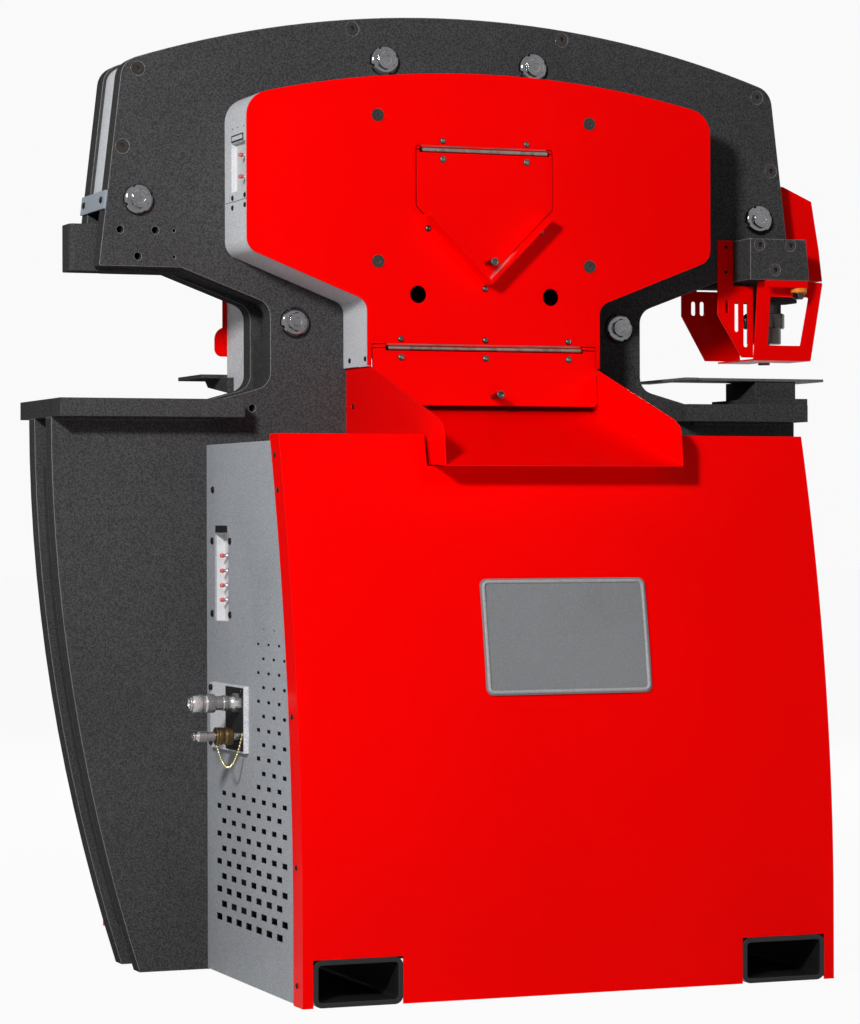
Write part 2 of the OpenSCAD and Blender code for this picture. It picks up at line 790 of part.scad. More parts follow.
module guide_adjusters() {
  color(steel)
    for (s = sides, f = sides, p = guide_at)
      translate([s * p[0], f * face_y, p[1]])
        rotate([-f * 90, 0, 0]) {
          difference() {
            union() {
              cylinder(d = hub_d, h = hub_t * 0.4);
              translate([0, 0, hub_t * 0.4])
                cylinder(d1 = hub_d, d2 = guide_nut_af * 1.22, h = hub_t * 0.6);
              translate([0, 0, -(plate_t - pad_t + beam_clear - pad_gap)])
                cylinder(d = hub_thread_d, h = plate_t - pad_t + beam_clear - pad_gap);
            }
            for (a = [45:90:315])
              rotate([0, 0, a])
                translate([hub_d / 2 - 4, -3, -0.5])
                  cube([6, 6, hub_t + 1]);
          }
          translate([0, 0, hub_t])
            cylinder(d = guide_nut_af / cos(30), h = guide_nut_h * 0.75, $fn = 6);
          translate([0, 0, hub_t + guide_nut_h * 0.75])
            cylinder(d1 = guide_nut_af, d2 = guide_nut_af * 0.7, h = guide_nut_h * 0.25);
        }
}

module guide_pads() {
  reach = half_gap - beam_clear + pad_gap;
  color([0.72, 0.50, 0.25])
    for (s = sides, f = sides, p = guide_at)
      rod_y(s * p[0], p[1], f * reach, f * (reach + pad_t), hub_thread_d / 2);
}

// Ram beam and what it carries

function beam_half() = [
  [beam_neck_x, beam_low_z, 6],
  [beam_neck_x, throat_top_z + 3, 24],
  [arm_inner_x - 30, beam_end_z, 10],
  [end_x(beam_end_z, beam_side_in), beam_end_z, 0],
  [beam_top_x(), on_arc(beam_top_x(), arch_r - beam_in, arch_cz), 30]];
function beam_top_x() = end_x(on_arc(end_top_x(0), arch_r - beam_in, arch_cz), beam_side_in);

module ram_beam() {
  r = arch_r - beam_in;
  color(dark)
    difference() {
      union() {
        upright(-beam_half_t, 2 * beam_half_t)
          polygon(rounded(concat(beam_half(), arch(beam_top_x() - 60, r, arch_cz), mirrored(beam_half()))));
        for (s = sides)
          translate([s * (beam_half_l - 80), 0, beam_end_z])
            linear_extrude(beam_end_h)
              polygon(rounded([[-80, -beam_end_t / 2, 10], [80, -beam_end_t / 2, 10],
                [80, beam_end_t / 2, 10], [-80, beam_end_t / 2, 10]]));
      }
      // Way for angles
      upright(-beam_half_t - 1, 2 * beam_half_t + 2)
        polygon(angle_outline(angle_half_w + 4, angle_low_z - 6, angle_top_z));
      // Seats of the moving blades in the rear face
      box([-flat_half_w + 8, beam_half_t + beam_clear - blade_gap - blade_t, beam_low_z - 1],
        [flat_half_w - 8, beam_half_t + 1, flat_feed_z + flat_open + blade_h]);
      upright(beam_half_t + beam_clear - blade_gap - blade_t, blade_t + 10)
        polygon(moving_angle());
    }
}

// Moving angle blade: a square corner that closes on the fixed notch
function moving_angle() =
  angle_outline(angle_half_w - 25, angle_low_z + angle_wall + stroke - 2, angle_top_z + 36);

module moving_blades() {
  y0 = beam_half_t + beam_clear - blade_gap - blade_t;
  color(steel) {
    box([-flat_half_w + 8, y0, flat_feed_z + flat_open],
      [flat_half_w - 8, y0 + blade_t, flat_feed_z + flat_open + blade_h]);
    upright(y0, blade_t)
      polygon(moving_angle());
  }
}

module fixed_blades() {
  color(steel) {
    box([-flat_half_w, half_gap, flat_feed_z - blade_h],
      [flat_half_w, half_gap + blade_t, flat_feed_z]);
    // Lower angle blade, a square notch standing in the rear plate's opening
    upright(half_gap, blade_t)
      polygon(concat(angle_outline(angle_half_w, angle_low_z, angle_low_z + angle_half_w),
        [[angle_half_w - angle_wall, angle_low_z + angle_half_w], [0, angle_low_z + angle_wall],
        [angle_wall - angle_half_w, angle_low_z + angle_half_w]]));
  }
}

rod_top_z = beam_low_z;
piston_z = barrel_top_z - head_h - 40 - piston_h;

module cylinder_barrels() {
  color(dark)
    for (s = sides)
      translate([s * cyl_x, 0, barrel_top_z - barrel_l])
        difference() {
          union() {
            cylinder(d = barrel_d, h = barrel_l - head_h + 1);
            translate([-barrel_d / 2, -barrel_d / 2, barrel_l - head_h])
              cube([barrel_d, barrel_d, head_h]);
          }
          translate([0, 0, 20])
            cylinder(d = barrel_bore, h = barrel_l - head_h - 20);
          translate([0, 0, barrel_l - head_h - 1])
            cylinder(d = rod_d + 2 * rod_gap, h = head_h + 2);
        }
}

module cylinder_rods() {
  color(steel)
    for (s = sides)
      translate([s * cyl_x, 0, 0]) {
        translate([0, 0, piston_z + piston_h - 1])
          cylinder(d = rod_d, h = rod_top_z - piston_z - piston_h + 1);
        translate([0, 0, piston_z])
          cylinder(d = barrel_bore - 2 * rod_gap, h = piston_h);
      }
}

module punch_holder() {
  color(dark) {
    translate([beam_half_l - 60, 0, holder_z])
      linear_extrude(holder_h)
        polygon(rounded([[-60, -beam_end_t / 2, 8], [60, -beam_end_t / 2, 8],
          [60, beam_end_t / 2, 8], [-60, beam_end_t / 2, 8]]));
    translate([punch_x, 0, stem_z])
      cylinder(d = stem_d, h = holder_z - stem_z);
  }
}

stem_z = holder_z - 20;
nut_z = stem_z - nut_h;
sleeve_z = nut_z - 29;

module coupling_nut() {
  color(steel)
    translate([punch_x, 0, 0])
      difference() {
        union() {
          translate([0, 0, nut_z]) cylinder(d = nut_d, h = nut_h);
          translate([0, 0, sleeve_z]) cylinder(d = stem_d, h = nut_z - sleeve_z + 1);
        }
        translate([0, 0, sleeve_z - 1]) cylinder(d = punch_d + 2 * screw_clear, h = nut_h + 60);
        for (a = [0:30:330])
          rotate([0, 0, a])
            translate([nut_d / 2, 0, nut_z - 1]) cylinder(d = 5, h = nut_h + 2);
      }
}

module punch() {
  color(steel)
    translate([punch_x, 0, punch_low_z]) cylinder(d = punch_d, h = stem_z - punch_low_z);
}

// Punch station

module stripper_blocks() {
  color(dark)
    for (f = sides)
      difference() {
        upright(f > 0 ? face_y : -face_y - block_d, block_d)
          polygon([[arm_half_w - 1 - block_w, arm_z - 1], [arm_half_w + 1, arm_z - 1],
            [arm_half_w + 1 - block_h * 0.09, arm_z - 1 + block_h],
            [arm_half_w - 1 - block_w, arm_z - 1 + block_h]]);
        for (p = tool_at) {
          rod_y(p[0], p[1], f * (face_y - 1), f * (face_y + block_d + 1), tool_hole_d / 2);
          rod_y(p[0], p[1], f * (face_y + block_d - 12), f * (face_y + block_d + 1),
            tool_hole_d * 0.8 + screw_clear);
        }
        translate([pivot_x, f * pivot_y, arm_z - 2])
          cylinder(d = pivot_d + 2 * screw_clear, h = pivot_seat + 1);
      }
}

pivot_x = arm_half_w - 14;
pivot_y = face_y + block_d - 13;
flange_top_z = arm_z - 1 - 0.4;
pivot_seat = 30;

guard_x = arm_half_w - block_w - 2;
guard_low_z = arm_z - guard_drop;

// Slotted plates beside the punch
module guard_plates() {
  front_slots = [[guard_x - guard_side_w * 0.42, guard_drop * 0.58, guard_drop * 0.75, sheet_t * 2],
    [guard_x + guard_low_w * 0.16, guard_drop * 0.335, guard_drop * 0.73, sheet_t * 2.7],
    [guard_x + guard_low_w * 0.625, guard_drop * 0.135, guard_drop * 0.73, sheet_t * 3]];
  rear_slots = [[guard_x - guard_side_w * 0.23, guard_drop * 0.61, guard_drop * 0.8, sheet_t * 3],
    [guard_x + guard_low_w * 0.26, guard_drop * 0.61, guard_drop * 0.8, sheet_t * 3]];
  upper_w = rear_guard_w * 0.79;
  color(red)
    for (f = sides)
      difference() {
        upright(f > 0 ? face_y : -face_y - sheet_t, sheet_t)
          polygon([[guard_x - guard_side_w, arm_z + block_h], [guard_x, arm_z + block_h],
            [guard_x, arm_z - 3 * sheet_t], [guard_x + (f > 0 ? upper_w : guard_low_w), arm_z - 3 * sheet_t],
            [guard_x + (f > 0 ? upper_w : guard_low_w), guard_low_z + guard_drop * 0.3],
            [guard_x + (f > 0 ? rear_guard_w : guard_low_w), guard_low_z + guard_drop * 0.3 - 1],
            [guard_x + (f > 0 ? rear_guard_w : guard_low_w), guard_low_z],
            [guard_x + guard_low_w * 0.43, guard_low_z],
            [guard_x - guard_side_w, guard_low_z + guard_drop * (f > 0 ? 0.6 : 0.55)]]);
        for (slot = f > 0 ? rear_slots : front_slots)
          upright(f > 0 ? face_y - 1 : -face_y - sheet_t - 1, sheet_t + 2)
            polygon(tube_slot(slot[0], guard_low_z + slot[1], guard_low_z + slot[2], slot[3]));
        for (p = pin_at)
          rod_y(p[0], p[1], f * (face_y - 1), f * (face_y + sheet_t + 1), 4);
      }
}

// Upright slot outline with round ends
function tube_slot(x, low, high, w) = rounded([[x - w / 2, low, w / 2.1], [x + w / 2, low, w / 2.1],
  [x + w / 2, high, w / 2.1], [x - w / 2, high, w / 2.1]]);

guard_y = pivot_y - bumper_d / 2 - 2 - sheet_t;
window_low_z = sleeve_z - stroke - sheet_t - 1;

guard_left = punch_x - nut_d * 1.04;
guard_right = punch_x + nut_d * 0.48;
guard_top_left = punch_x - nut_d * 0.915;
lip_h = nut_h * 0.45;

// Swing guard in front of the punch: a window plate with a top flange, a lip and a foot that
// passes the left side of the punch
module window_guard() {
  lip_y = -face_y - block_d + 1;
  color(red)
    difference() {
      union() {
        upright(-guard_y - sheet_t, sheet_t)
          polygon(rounded([[guard_left, window_low_z, 3], [guard_right, window_low_z, 3],
            [punch_x + nut_d * 0.81, flange_top_z, 3], [guard_top_left, flange_top_z, 3]]));
        box([guard_top_left, lip_y, flange_top_z - sheet_t], [arm_half_w - 1, -guard_y, flange_top_z]);
        box([guard_top_left, lip_y, flange_top_z - lip_h],
          [arm_half_w - 1, lip_y + sheet_t * 0.9, flange_top_z]);
        box([guard_left, -guard_y - 1, window_low_z],
          [punch_x - punch_d / 2 - 5, half_gap - 6, window_low_z + sheet_t]);
        box([guard_left, -guard_y - 1, window_low_z], [guard_right, -punch_d - 10, window_low_z + sheet_t]);
      }
      upright(-guard_y - sheet_t - 1, sheet_t + 2)
        polygon(rounded([[punch_x - nut_d * 0.67, window_low_z + nut_h, 3],
          [punch_x + nut_d * 0.21, window_low_z + nut_h, 3],
          [punch_x + nut_d * 0.44, flange_top_z - nut_h, 3],
          [punch_x - nut_d * 0.59, flange_top_z - nut_h, 3]]));
      translate([pivot_x, -pivot_y, flange_top_z - sheet_t - 1])
        cylinder(d = pivot_d + 2 * pivot_clear, h = sheet_t + 2);
    }
}

// Pivot bolt with its orange washer and nut
module guard_bumpers() {
  top = flange_top_z - lip_h - 0.6;
  translate([pivot_x, -pivot_y, 0]) {
    color(steel) {
      translate([0, 0, top - 20]) cylinder(d = pivot_d, h = arm_z - 1 + pivot_seat - top + 20);
      translate([0, 0, top - 17]) cylinder(d = 25, h = 9, $fn = 6);
    }
    color([0.95, 0.40, 0.05])
      difference() {
        translate([0, 0, top - 8]) cylinder(d = bumper_d, h = 8);
        translate([0, 0, top - 9]) cylinder(d = pivot_d, h = 10);
      }
  }
}

// Shield round the right end of the beam
module end_guard() {
  z0 = arm_z + 7;
  z1 = z0 + end_guard_h;
  rim = [[arm_half_w + end_guard_out * 0.035, z1],
    [arm_half_w + end_guard_out * 0.735, z1 - end_guard_h * 0.15],
    [arm_half_w + end_guard_out * 0.918, z0 + end_guard_h * 0.333], [arm_half_w + end_guard_out, z0]];
  inner = [for (i = [0:3]) [rim[i][0] - sheet_t, rim[i][1] - (i < 2 ? sheet_t : 0)]];
  color(red) {
    upright(-half_gap, plate_gap)
      polygon(concat(rim, [for (i = [3:-1:0]) inner[i]]));
    for (f = sides)
      upright(f > 0 ? half_gap - sheet_t * 0.8 : -half_gap, sheet_t * 0.8)
        polygon(concat(rim, [[end_x(z0, strip_in - 1), z0], [end_x(z1, strip_in - 1), z1]]));
  }
}

module die_base() {
  color(dark)
    box([punch_x - die_holder_w * 0.73, -die_holder_d * 0.8, table_z],
      [punch_x + die_holder_w * 0.475, die_holder_d * 0.8, table_z + die_base_t]);
}

module die_holder() {
  low = table_z + die_base_t;
  top = gauge_z - gauge_t;
  color(dark)
    difference() {
      box([punch_x - die_holder_w * 0.595, -die_holder_d / 2, low],
        [punch_x + die_holder_w * 0.405, die_holder_d / 2, top]);
      translate([punch_x, 0, gauge_z - die_h])
        cylinder(d = die_d + 2 * screw_clear, h = die_h);
      translate([punch_x, 0, low - 1])
        cylinder(d = punch_d + 8, h = 60);
    }
}

module die() {
  color(steel)
    translate([punch_x, 0, gauge_z - die_h])
      difference() {
        cylinder(d = die_d, h = die_h);
        translate([0, 0, -1]) cylinder(d = punch_d + 2 * punch_gap, h = die_h + 2);
      }
}

// Gauge table round the die with a rail at its inner end
module gauge_table() {
  inner = table_notch_x + 20;
  front = die_holder_d / 2 + 4;
  color(dark)
    translate([0, 0, gauge_z - gauge_t])
      difference() {
        linear_extrude(gauge_t)
          polygon(rounded([[inner - gauge_rail_w, -front - 11, 2], [inner, -front - 11, 2], [inner, -front, 0],
            [punch_x + gauge_out, -front, 3], [punch_x + gauge_out, gauge_d - front, 3],
            [inner, gauge_d - front, 3], [inner, gauge_rail_l - front - 11, 2],
            [inner - gauge_rail_w, gauge_rail_l - front - 11, 2]]));
        translate([punch_x, 0, -1]) cylinder(d = die_d + 2 * screw_clear, h = gauge_t + 2);
      }
}

// Front cover with its two drop doors

function cover_diag(x, d, neck) =
  cover_neck_z + cover_slope * (x - cover_neck_half_w) + d * cover_stretch;
function cover_half(d, neck, low) = [
  [neck - d, low, 0],
  [neck - d, cover_diag(neck - d, d, neck), 24 + d],
  [cover_half_w - d, cover_diag(cover_half_w - d, d, neck), 28 - d],
  [cover_half_w - d, on_arc(cover_half_w - d, cover_arch_r - d, cover_cz), 44 - d]];
function cover_outline(d, neck, low) = rounded(concat(cover_half(d, neck, low),
  arch(cover_half_w - 50, cover_arch_r - d, cover_cz), mirrored(cover_half(d, neck, low))));

tray_z = side_panel_h * 0.749;
tray_y = -face_y - tray_w * 1.118;
upper_tray_z = cover_top_z - upper_tray_h * 2.042;
upper_tray_y = -face_y - tray_w * 1.013;
upper_tray_d = tray_d / 2;

module cover_box(y0, neck, low) {
  t = cover_in_y - face_y;
  difference() {
    upright(y0, t) polygon(cover_outline(0, neck, low));
    upright(y0 - 1, t + 2) polygon(cover_outline(cover_wall, neck, low - 1));
  }
}

module front_cover_box() {
  color(grey)
    difference() {
      cover_box(-cover_in_y, cover_neck_half_w, cover_low_z);
      box([-cover_half_w - 1, upper_tray_y - tray_w / 2, upper_tray_z - upper_tray_h / 2],
        [-cover_half_w + cover_wall + 1, upper_tray_y + tray_w / 2, upper_tray_z + upper_tray_h / 2]);
    }
}

function angle_door_outline(d, top, r = 6) =
  let (half = angle_door_half_w + d, low = angle_door_v_z - angle_door_half_w - d * sqrt(2))
  [[-half, top, r], [-half, low + half, 3], [0, low, 6], [half, low + half, 3], [half, top, r]];

module front_cover_plate() {
  color(red)
    difference() {
      upright(-cover_y, cover_plate_t)
        polygon(cover_outline(0, cover_neck_half_w, cover_low_z));
      upright(-cover_y - 1, cover_plate_t + 2) {
        polygon(rounded(angle_door_outline(door_gap, angle_door_top_z)));
        polygon(rounded([[-flat_door_half_w - door_gap, cover_low_z - 9, 0],
          [flat_door_half_w + door_gap, cover_low_z - 9, 0],
          [flat_door_half_w + door_gap, cover_plate_low_z, 6],
          [-flat_door_half_w - door_gap, cover_plate_low_z, 6]]));
      }
      for (s = sides) {
        rod_y(s * angle_door_half_w * 0.977, angle_door_v_z - angle_door_half_w * 1.203, -cover_y - 1,
          -cover_in_y + 1, cover_screw_d * 0.7);
        for (p = cover_screw_at)
          rod_y(s * p[0], p[1], -cover_y - 1, -cover_in_y + 1, cover_screw_d / 2 + screw_clear);
      }
    }
  color(red) {
    hinge_strip(angle_door_half_w, angle_hinge_half_l, angle_hinge_z);
    hinge_strip(flat_door_half_w, flat_hinge_half_l, flat_hinge_z);
  }
}

// Strip between a seam and the hinge barrel, held by the fixed leaf behind it
module hinge_strip(half_w, half_l, z) {
  upright(-cover_y, cover_plate_t)
    polygon(rounded([[-half_w, z + door_slit, 0], [-half_l - slot_end, z + door_slit, 0],
      [-half_l - slot_end, z + barrel_slot, 0], [half_l + slot_end, z + barrel_slot, 0],
      [half_l + slot_end, z + door_slit, 0],
      [half_w, z + door_slit, 0], [half_w, z + hinge_drop - door_gap, 5],
      [-half_w, z + hinge_drop - door_gap, 5]]));
}

// V lip that stands out round the lower edges of the angle door's opening
module drop_lip() {
  low = angle_door_v_z - angle_door_half_w;
  outer = (door_gap + 0.6 + sheet_t) * sqrt(2);
  inner = (door_gap + 0.6) * sqrt(2);
  end = angle_door_half_w - 12;
  color(red)
    upright(-cover_y - lip_depth, lip_depth)
      polygon([[-end, low + end - outer], [0, low - outer], [end, low + end - outer],
        [end, low + end - inner], [0, low - inner], [-end, low + end - inner]]);
}

hinge_y = -cover_y + 1;
angle_hinge_z = angle_door_top_z - hinge_drop;
flat_hinge_z = cover_plate_low_z - hinge_drop;
knuckles = 9;
barrel_slot = hinge_d / 2 + 0.5;
door_slit = 1.3;
slot_end = 4;
notch_gap = 8;

// Every second knuckle of a piano hinge; side 1 is the fixed leaf above the axis
module knuckle_row(half_l, z, side) {
  step = 2 * half_l / knuckles;
  difference() {
    union() {
      for (i = [side > 0 ? 0 : 1:2:knuckles - 1]) {
        rod_x(hinge_y, z, -half_l + i * step + 0.3, -half_l + (i + 1) * step - 0.3, hinge_d / 2);
        box([-half_l + i * step + 0.3, -cover_in_y, side > 0 ? z : z - hinge_drop],
          [-half_l + (i + 1) * step - 0.3, -cover_in_y + leaf_t, side > 0 ? z + hinge_drop : z]);
      }
      box([-half_l, -cover_in_y, side > 0 ? z + barrel_slot : z - hinge_drop - leaf_w],
        [half_l, -cover_in_y + leaf_t, side > 0 ? z + hinge_drop + leaf_w : z - barrel_slot]);
    }
    rod_x(hinge_y, z, -half_l - 1, half_l + 1, hinge_pin_d / 2 + hinge_clear);
  }
}

module hinge_leaves() {
  color(steel) {
    knuckle_row(angle_hinge_half_l, angle_hinge_z, 1);
    knuckle_row(flat_hinge_half_l, flat_hinge_z, 1);
  }
}

module hinge_pins() {
  color(steel) {
    rod_x(hinge_y, angle_hinge_z, -angle_hinge_half_l, angle_hinge_half_l, hinge_pin_d / 2);
    rod_x(hinge_y, flat_hinge_z, -flat_hinge_half_l, flat_hinge_half_l, hinge_pin_d / 2);
  }
}

// Room for the hinge barrel in the top edge of a door
module door_slot(half_l, z) {
  box([-half_l - slot_end, -cover_y - 1, z - barrel_slot], [half_l + slot_end, -cover_in_y + 1, z + 9]);
}

module angle_door() {
  color(red) {
    knuckle_row(angle_hinge_half_l, angle_hinge_z, -1);
    difference() {
      upright(-cover_y, cover_plate_t)
        polygon(rounded(angle_door_outline(0, angle_hinge_z - 0.5, 0)));
      door_slot(angle_hinge_half_l, angle_hinge_z);
    }
    rod_y(pull_d * 0.4, angle_door_v_z - angle_door_half_w * 0.758,
      -cover_y + 0.5, -cover_y - pull_l, pull_d / 2);
    for (x = angle_hinge_half_l * [-0.669, 0.669])
      button_screw_y(x, angle_hinge_z - 2 * hinge_drop, -cover_y + 0.5, -1);
  }
}

module flat_door() {
  color(red)
    translate([0, hinge_y, flat_hinge_z])
      rotate([-flat_door_tilt, 0, 0])
        translate([0, -hinge_y, -flat_hinge_z]) {
          knuckle_row(flat_hinge_half_l, flat_hinge_z, -1);
          difference() {
            upright(-cover_y, cover_plate_t)
              polygon(rounded([[-flat_door_half_w, flat_door_low_z, 8],
                [flat_door_half_w, flat_door_low_z, 8],
                [flat_door_half_w, flat_hinge_z - 0.5, 0],
                [-flat_door_half_w, flat_hinge_z - 0.5, 0]]));
            door_slot(flat_hinge_half_l, flat_hinge_z);
          }
          rod_y(pull_d * 1.2, flat_door_low_z + pull_d * 1.6, -cover_y + 0.5, -cover_y - pull_l, pull_d / 2);
          for (x = flat_hinge_half_l * [-0.867, 0, 0.867])
            button_screw_y(x, flat_hinge_z - 2 * hinge_drop, -cover_y + 0.5, -1);
        }
}

function chute_floor(reach) = chute_back_z + (chute_front_z - chute_back_z) * reach / chute_reach;

module chute() {
  y0 = -face_y;
  y1 = -face_y - chute_reach;
  low = side_panel_h + chute_t;
  edge = chute_front_z + 1;
  wall = rounded([[y0, low, 0], [y0 - chute_reach * 0.61, low, 0], [y0 - chute_reach * 0.75, edge, 0],
    [y1 + 40, edge, 0], [y1, chute_front_z - chute_t, 2],
    [y1 + 8, chute_nose_z - 14, 18], [y1 + 32, chute_nose_z, 20], [-cover_y - 2, chute_wall_z, 4],
    [y0, chute_wall_z, 0]]);
  color(red) {
    for (s = sides)
      along_x(s > 0 ? chute_half_w : -chute_half_w - chute_t, chute_t) polygon(wall);
    along_x(-chute_half_w - 1, 2 * chute_half_w + 2)
      polygon([[y0, chute_back_z - chute_t], [y1, chute_front_z - chute_t], [y1, chute_front_z],
        [y0, chute_back_z]]);
  }
}

// Cabinets

// Distance from the middle plane to the bowed cabinet front at a height
function cab_front(z, d = 0) =
  let (h = max(0, z - cab_bow_z) / cab_bow_h)
  face_y + cab_foot_d - cab_bow_d * h * h - d;
function cab_profile(d, low, top, n = 18) =
  [for (i = [0:n]) let (z = low + (top - low) * i / n) [-cab_front(z, d), z]];
function back(p) = [for (i = [len(p) - 1:-1:0]) p[i]];

module bowed_panel(chute_notch) {
  difference() {
    union() {
      along_x(-cab_half_w, 2 * cab_half_w)
        polygon(concat(cab_profile(0, 0, cab_h, 60), back(cab_profile(cab_t, 0, cab_h, 30))));
      for (s = sides)
        along_x(s > 0 ? cab_half_w - cab_t : -cab_half_w, cab_t)
          polygon(concat(cab_profile(0, 0, cab_h, 60), back(cab_profile(cab_flange, 0, cab_h))));
      along_x(-cab_half_w, 2 * cab_half_w)
        polygon([[-cab_front(cab_h), cab_h], [-cab_front(cab_h) + cab_lip, cab_h],
          [-cab_front(cab_h) + cab_lip, cab_h - cab_t], [-cab_front(cab_h - cab_t), cab_h - cab_t]]);
    }
    for (s = sides)
      box([s * tube_x - tube_w / 2 - tube_clear, -face_y - cab_foot_d - 1, -1],
        [s * tube_x + tube_w / 2 + tube_clear, -face_y, tube_h + tube_clear]);
    if (chute_notch)
      box([-chute_half_w - chute_t - notch_gap, -face_y - cab_foot_d, chute_front_z - 1],
        [chute_half_w + chute_t + notch_gap, -face_y, cab_h + 1]);
  }
}

module front_panel() {
  color(red) bowed_panel(true);
}

module rear_panel() {
  color(red) mirror([0, 1, 0]) bowed_panel(false);
}

module side_sheet(x0) {
  along_x(x0, cab_t)
    polygon(concat([[-face_y, 2]], cab_profile(cab_t + 1, 2, side_panel_h), [[-face_y, side_panel_h]]));
}

// Cooling slots grow towards the floor; the upper rows keep clear of the couplers
module cooling_slots() {
  for (i = [0:slot_rows - 1]) {
    size = 1 - 0.68 * i / (slot_rows - 1);
    z = slot_low_z + i * slot_step_z;
    first = i > 9 ? 4 : 0;
    for (k = [first:6]) {
      y = -145 - k * slot_step_y - (i % 2) * slot_step_y / 2;
      if (-y + slot_w / 2 < cab_front(z) - cab_flange - 2)
        box([-cab_half_w - 1, y - slot_w * size / 2, z - slot_h * size / 2],
          [-cab_in_x + cab_t + 1, y + slot_w * size / 2, z + slot_h * size / 2]);
    }
  }
}

module side_panels() {
  color(grey) {
    difference() {
      side_sheet(-cab_in_x);
      cooling_slots();
      box([-cab_half_w - 1, tray_y - tray_w / 2, tray_z - lower_tray_h / 2],
        [-cab_in_x + cab_t + 1, tray_y + tray_w / 2, tray_z + lower_tray_h / 2]);
    }
    side_sheet(cab_in_x - cab_t);
  }
}

module rear_side_panels() {
  color(grey)
    mirror([0, 1, 0]) {
      side_sheet(-cab_in_x);
      side_sheet(cab_in_x - cab_t);
    }
}

module cabinet_top_sheet() {
  half = cab_in_x - cab_t;
  front = cab_front(side_panel_h, cab_t + 1);
  translate([0, 0, side_panel_h - cab_t])
    linear_extrude(cab_t)
      polygon([[-half, -front], [half, -front], [half, -face_y], [-half, -face_y]]);
}

module cabinet_tops() {
  color(grey) {
    difference() {
      cabinet_top_sheet();
      box([-chute_half_w - chute_t - notch_gap, -face_y - cab_foot_d, side_panel_h - 20],
        [chute_half_w + chute_t + notch_gap, -face_y - chute_reach * 0.605, side_panel_h + 1]);
    }
    mirror([0, 1, 0]) cabinet_top_sheet();
  }
}

module grease_tray(x, y, z, h, d) {
  difference() {
    box([x, y - tray_w / 2 - 4, z - h / 2 - 4], [x + d, y + tray_w / 2 + 4, z + h / 2 + 4]);
    box([x - 1, y - tray_w / 2, z - h / 2], [x + d - 3, y + tray_w / 2, z + h / 2]);
  }
}

module grease_trays() {
  color([0.85, 0.85, 0.86]) {
    grease_tray(-cab_in_x + cab_t, tray_y, tray_z, lower_tray_h, tray_d);
    grease_tray(-cover_half_w + cover_wall, upper_tray_y, upper_tray_z, upper_tray_h, upper_tray_d);
  }
}

module grease_fitting(x, y, z) {
  rod_x(y, z, x, x - fitting_l * 0.35, fitting_l * 0.3);
  rod_x(y, z, x - fitting_l * 0.3, x - fitting_l * 0.8, fitting_l * 0.2);
  rod_x(y, z, x - fitting_l * 0.75, x - fitting_l * 1.2, fitting_l * 0.25);
}

module grease_fittings() {
  color([0.75, 0.25, 0.2]) {
    for (z = lower_tray_h * [0.247, 0.073, -0.093, -0.26])
      grease_fitting(-cab_in_x + cab_t + tray_d - 3, tray_y + tray_w * 0.184, tray_z + z);
    for (z = upper_tray_h * [0.179, -0.262])
      grease_fitting(-cover_half_w + cover_wall + upper_tray_d - 3, upper_tray_y - tray_w * 0.316,
        upper_tray_z + z);
  }
}

// Quick couplers for attachments
coupler_y = -face_y - manifold_w * 1.1;
coupler_z = side_panel_h * 0.52;
manifold_x = -cab_in_x;

module coupler_manifold() {
  color(steel)
    difference() {
      box([manifold_x - manifold_t, coupler_y - 24, coupler_z - 84],
        [manifold_x, coupler_y - 24 + manifold_w, coupler_z - 84 + manifold_h]);
      for (y = [coupler_y - 14, coupler_y - 34 + manifold_w])
        for (z = [coupler_z - 75, coupler_z - 93 + manifold_h])
          rod_x(y, z, manifold_x - manifold_t - 1, manifold_x + 1, 3.5);
    }
}

// A turned fitting along -x: [start, end, diameter] steps from its base
module turned(y, z, steps) {
  base = manifold_x - manifold_t;
  for (s = steps)
    rod_x(y, z, base - s[0], base - s[1], s[2] / 2);
}

module female_coupler() {
  color(steel) {
    translate([manifold_x - manifold_t - 14, coupler_y, coupler_z])
      rotate([0, 90, 0]) cylinder(d = coupler_d, h = 14, $fn = 6);
    turned(coupler_y, coupler_z, [[13, female_l, coupler_d - 8]]);
  }
}

// Sliding sleeve of the female coupler
module coupler_sleeve() {
  base = manifold_x - manifold_t;
  color(steel)
    difference() {
      turned(coupler_y, coupler_z, [[45, 62, coupler_d], [62, 68, coupler_d - 3], [68, 84, coupler_d]]);
      rod_x(coupler_y, coupler_z, base - 44, base - 86, coupler_d / 2 - 4 + rod_gap);
    }
}

module male_coupler() {
  color(steel)
    turned(coupler_y, coupler_z - coupler_step, [[0, 45, coupler_d - 18], [44, 60, coupler_d - 16],
      [59, 74, coupler_d - 13], [73, male_l, coupler_d - 18]]);
}

module coupler_cap() {
  color([0.30, 0.22, 0.10])
    difference() {
      turned(coupler_y, coupler_z - coupler_step, [[14, 27, coupler_d - 2], [26, 32, coupler_d - 5],
        [31, 43.5, coupler_d - 2]]);
      turned(coupler_y, coupler_z - coupler_step, [[13, 45, coupler_d - 18 + 2 * screw_clear]]);
    }
}

// Bead chain from the cap to the manifold
chain_from = [manifold_x - manifold_t - 40, coupler_y,
  coupler_z - coupler_step - coupler_d / 2 + 1 - bead_d / 2];
chain_to = [manifold_x - manifold_t - bead_d / 2, coupler_y - 19, coupler_z - coupler_step + 2];
chain_sag = 44;
beads = 30;

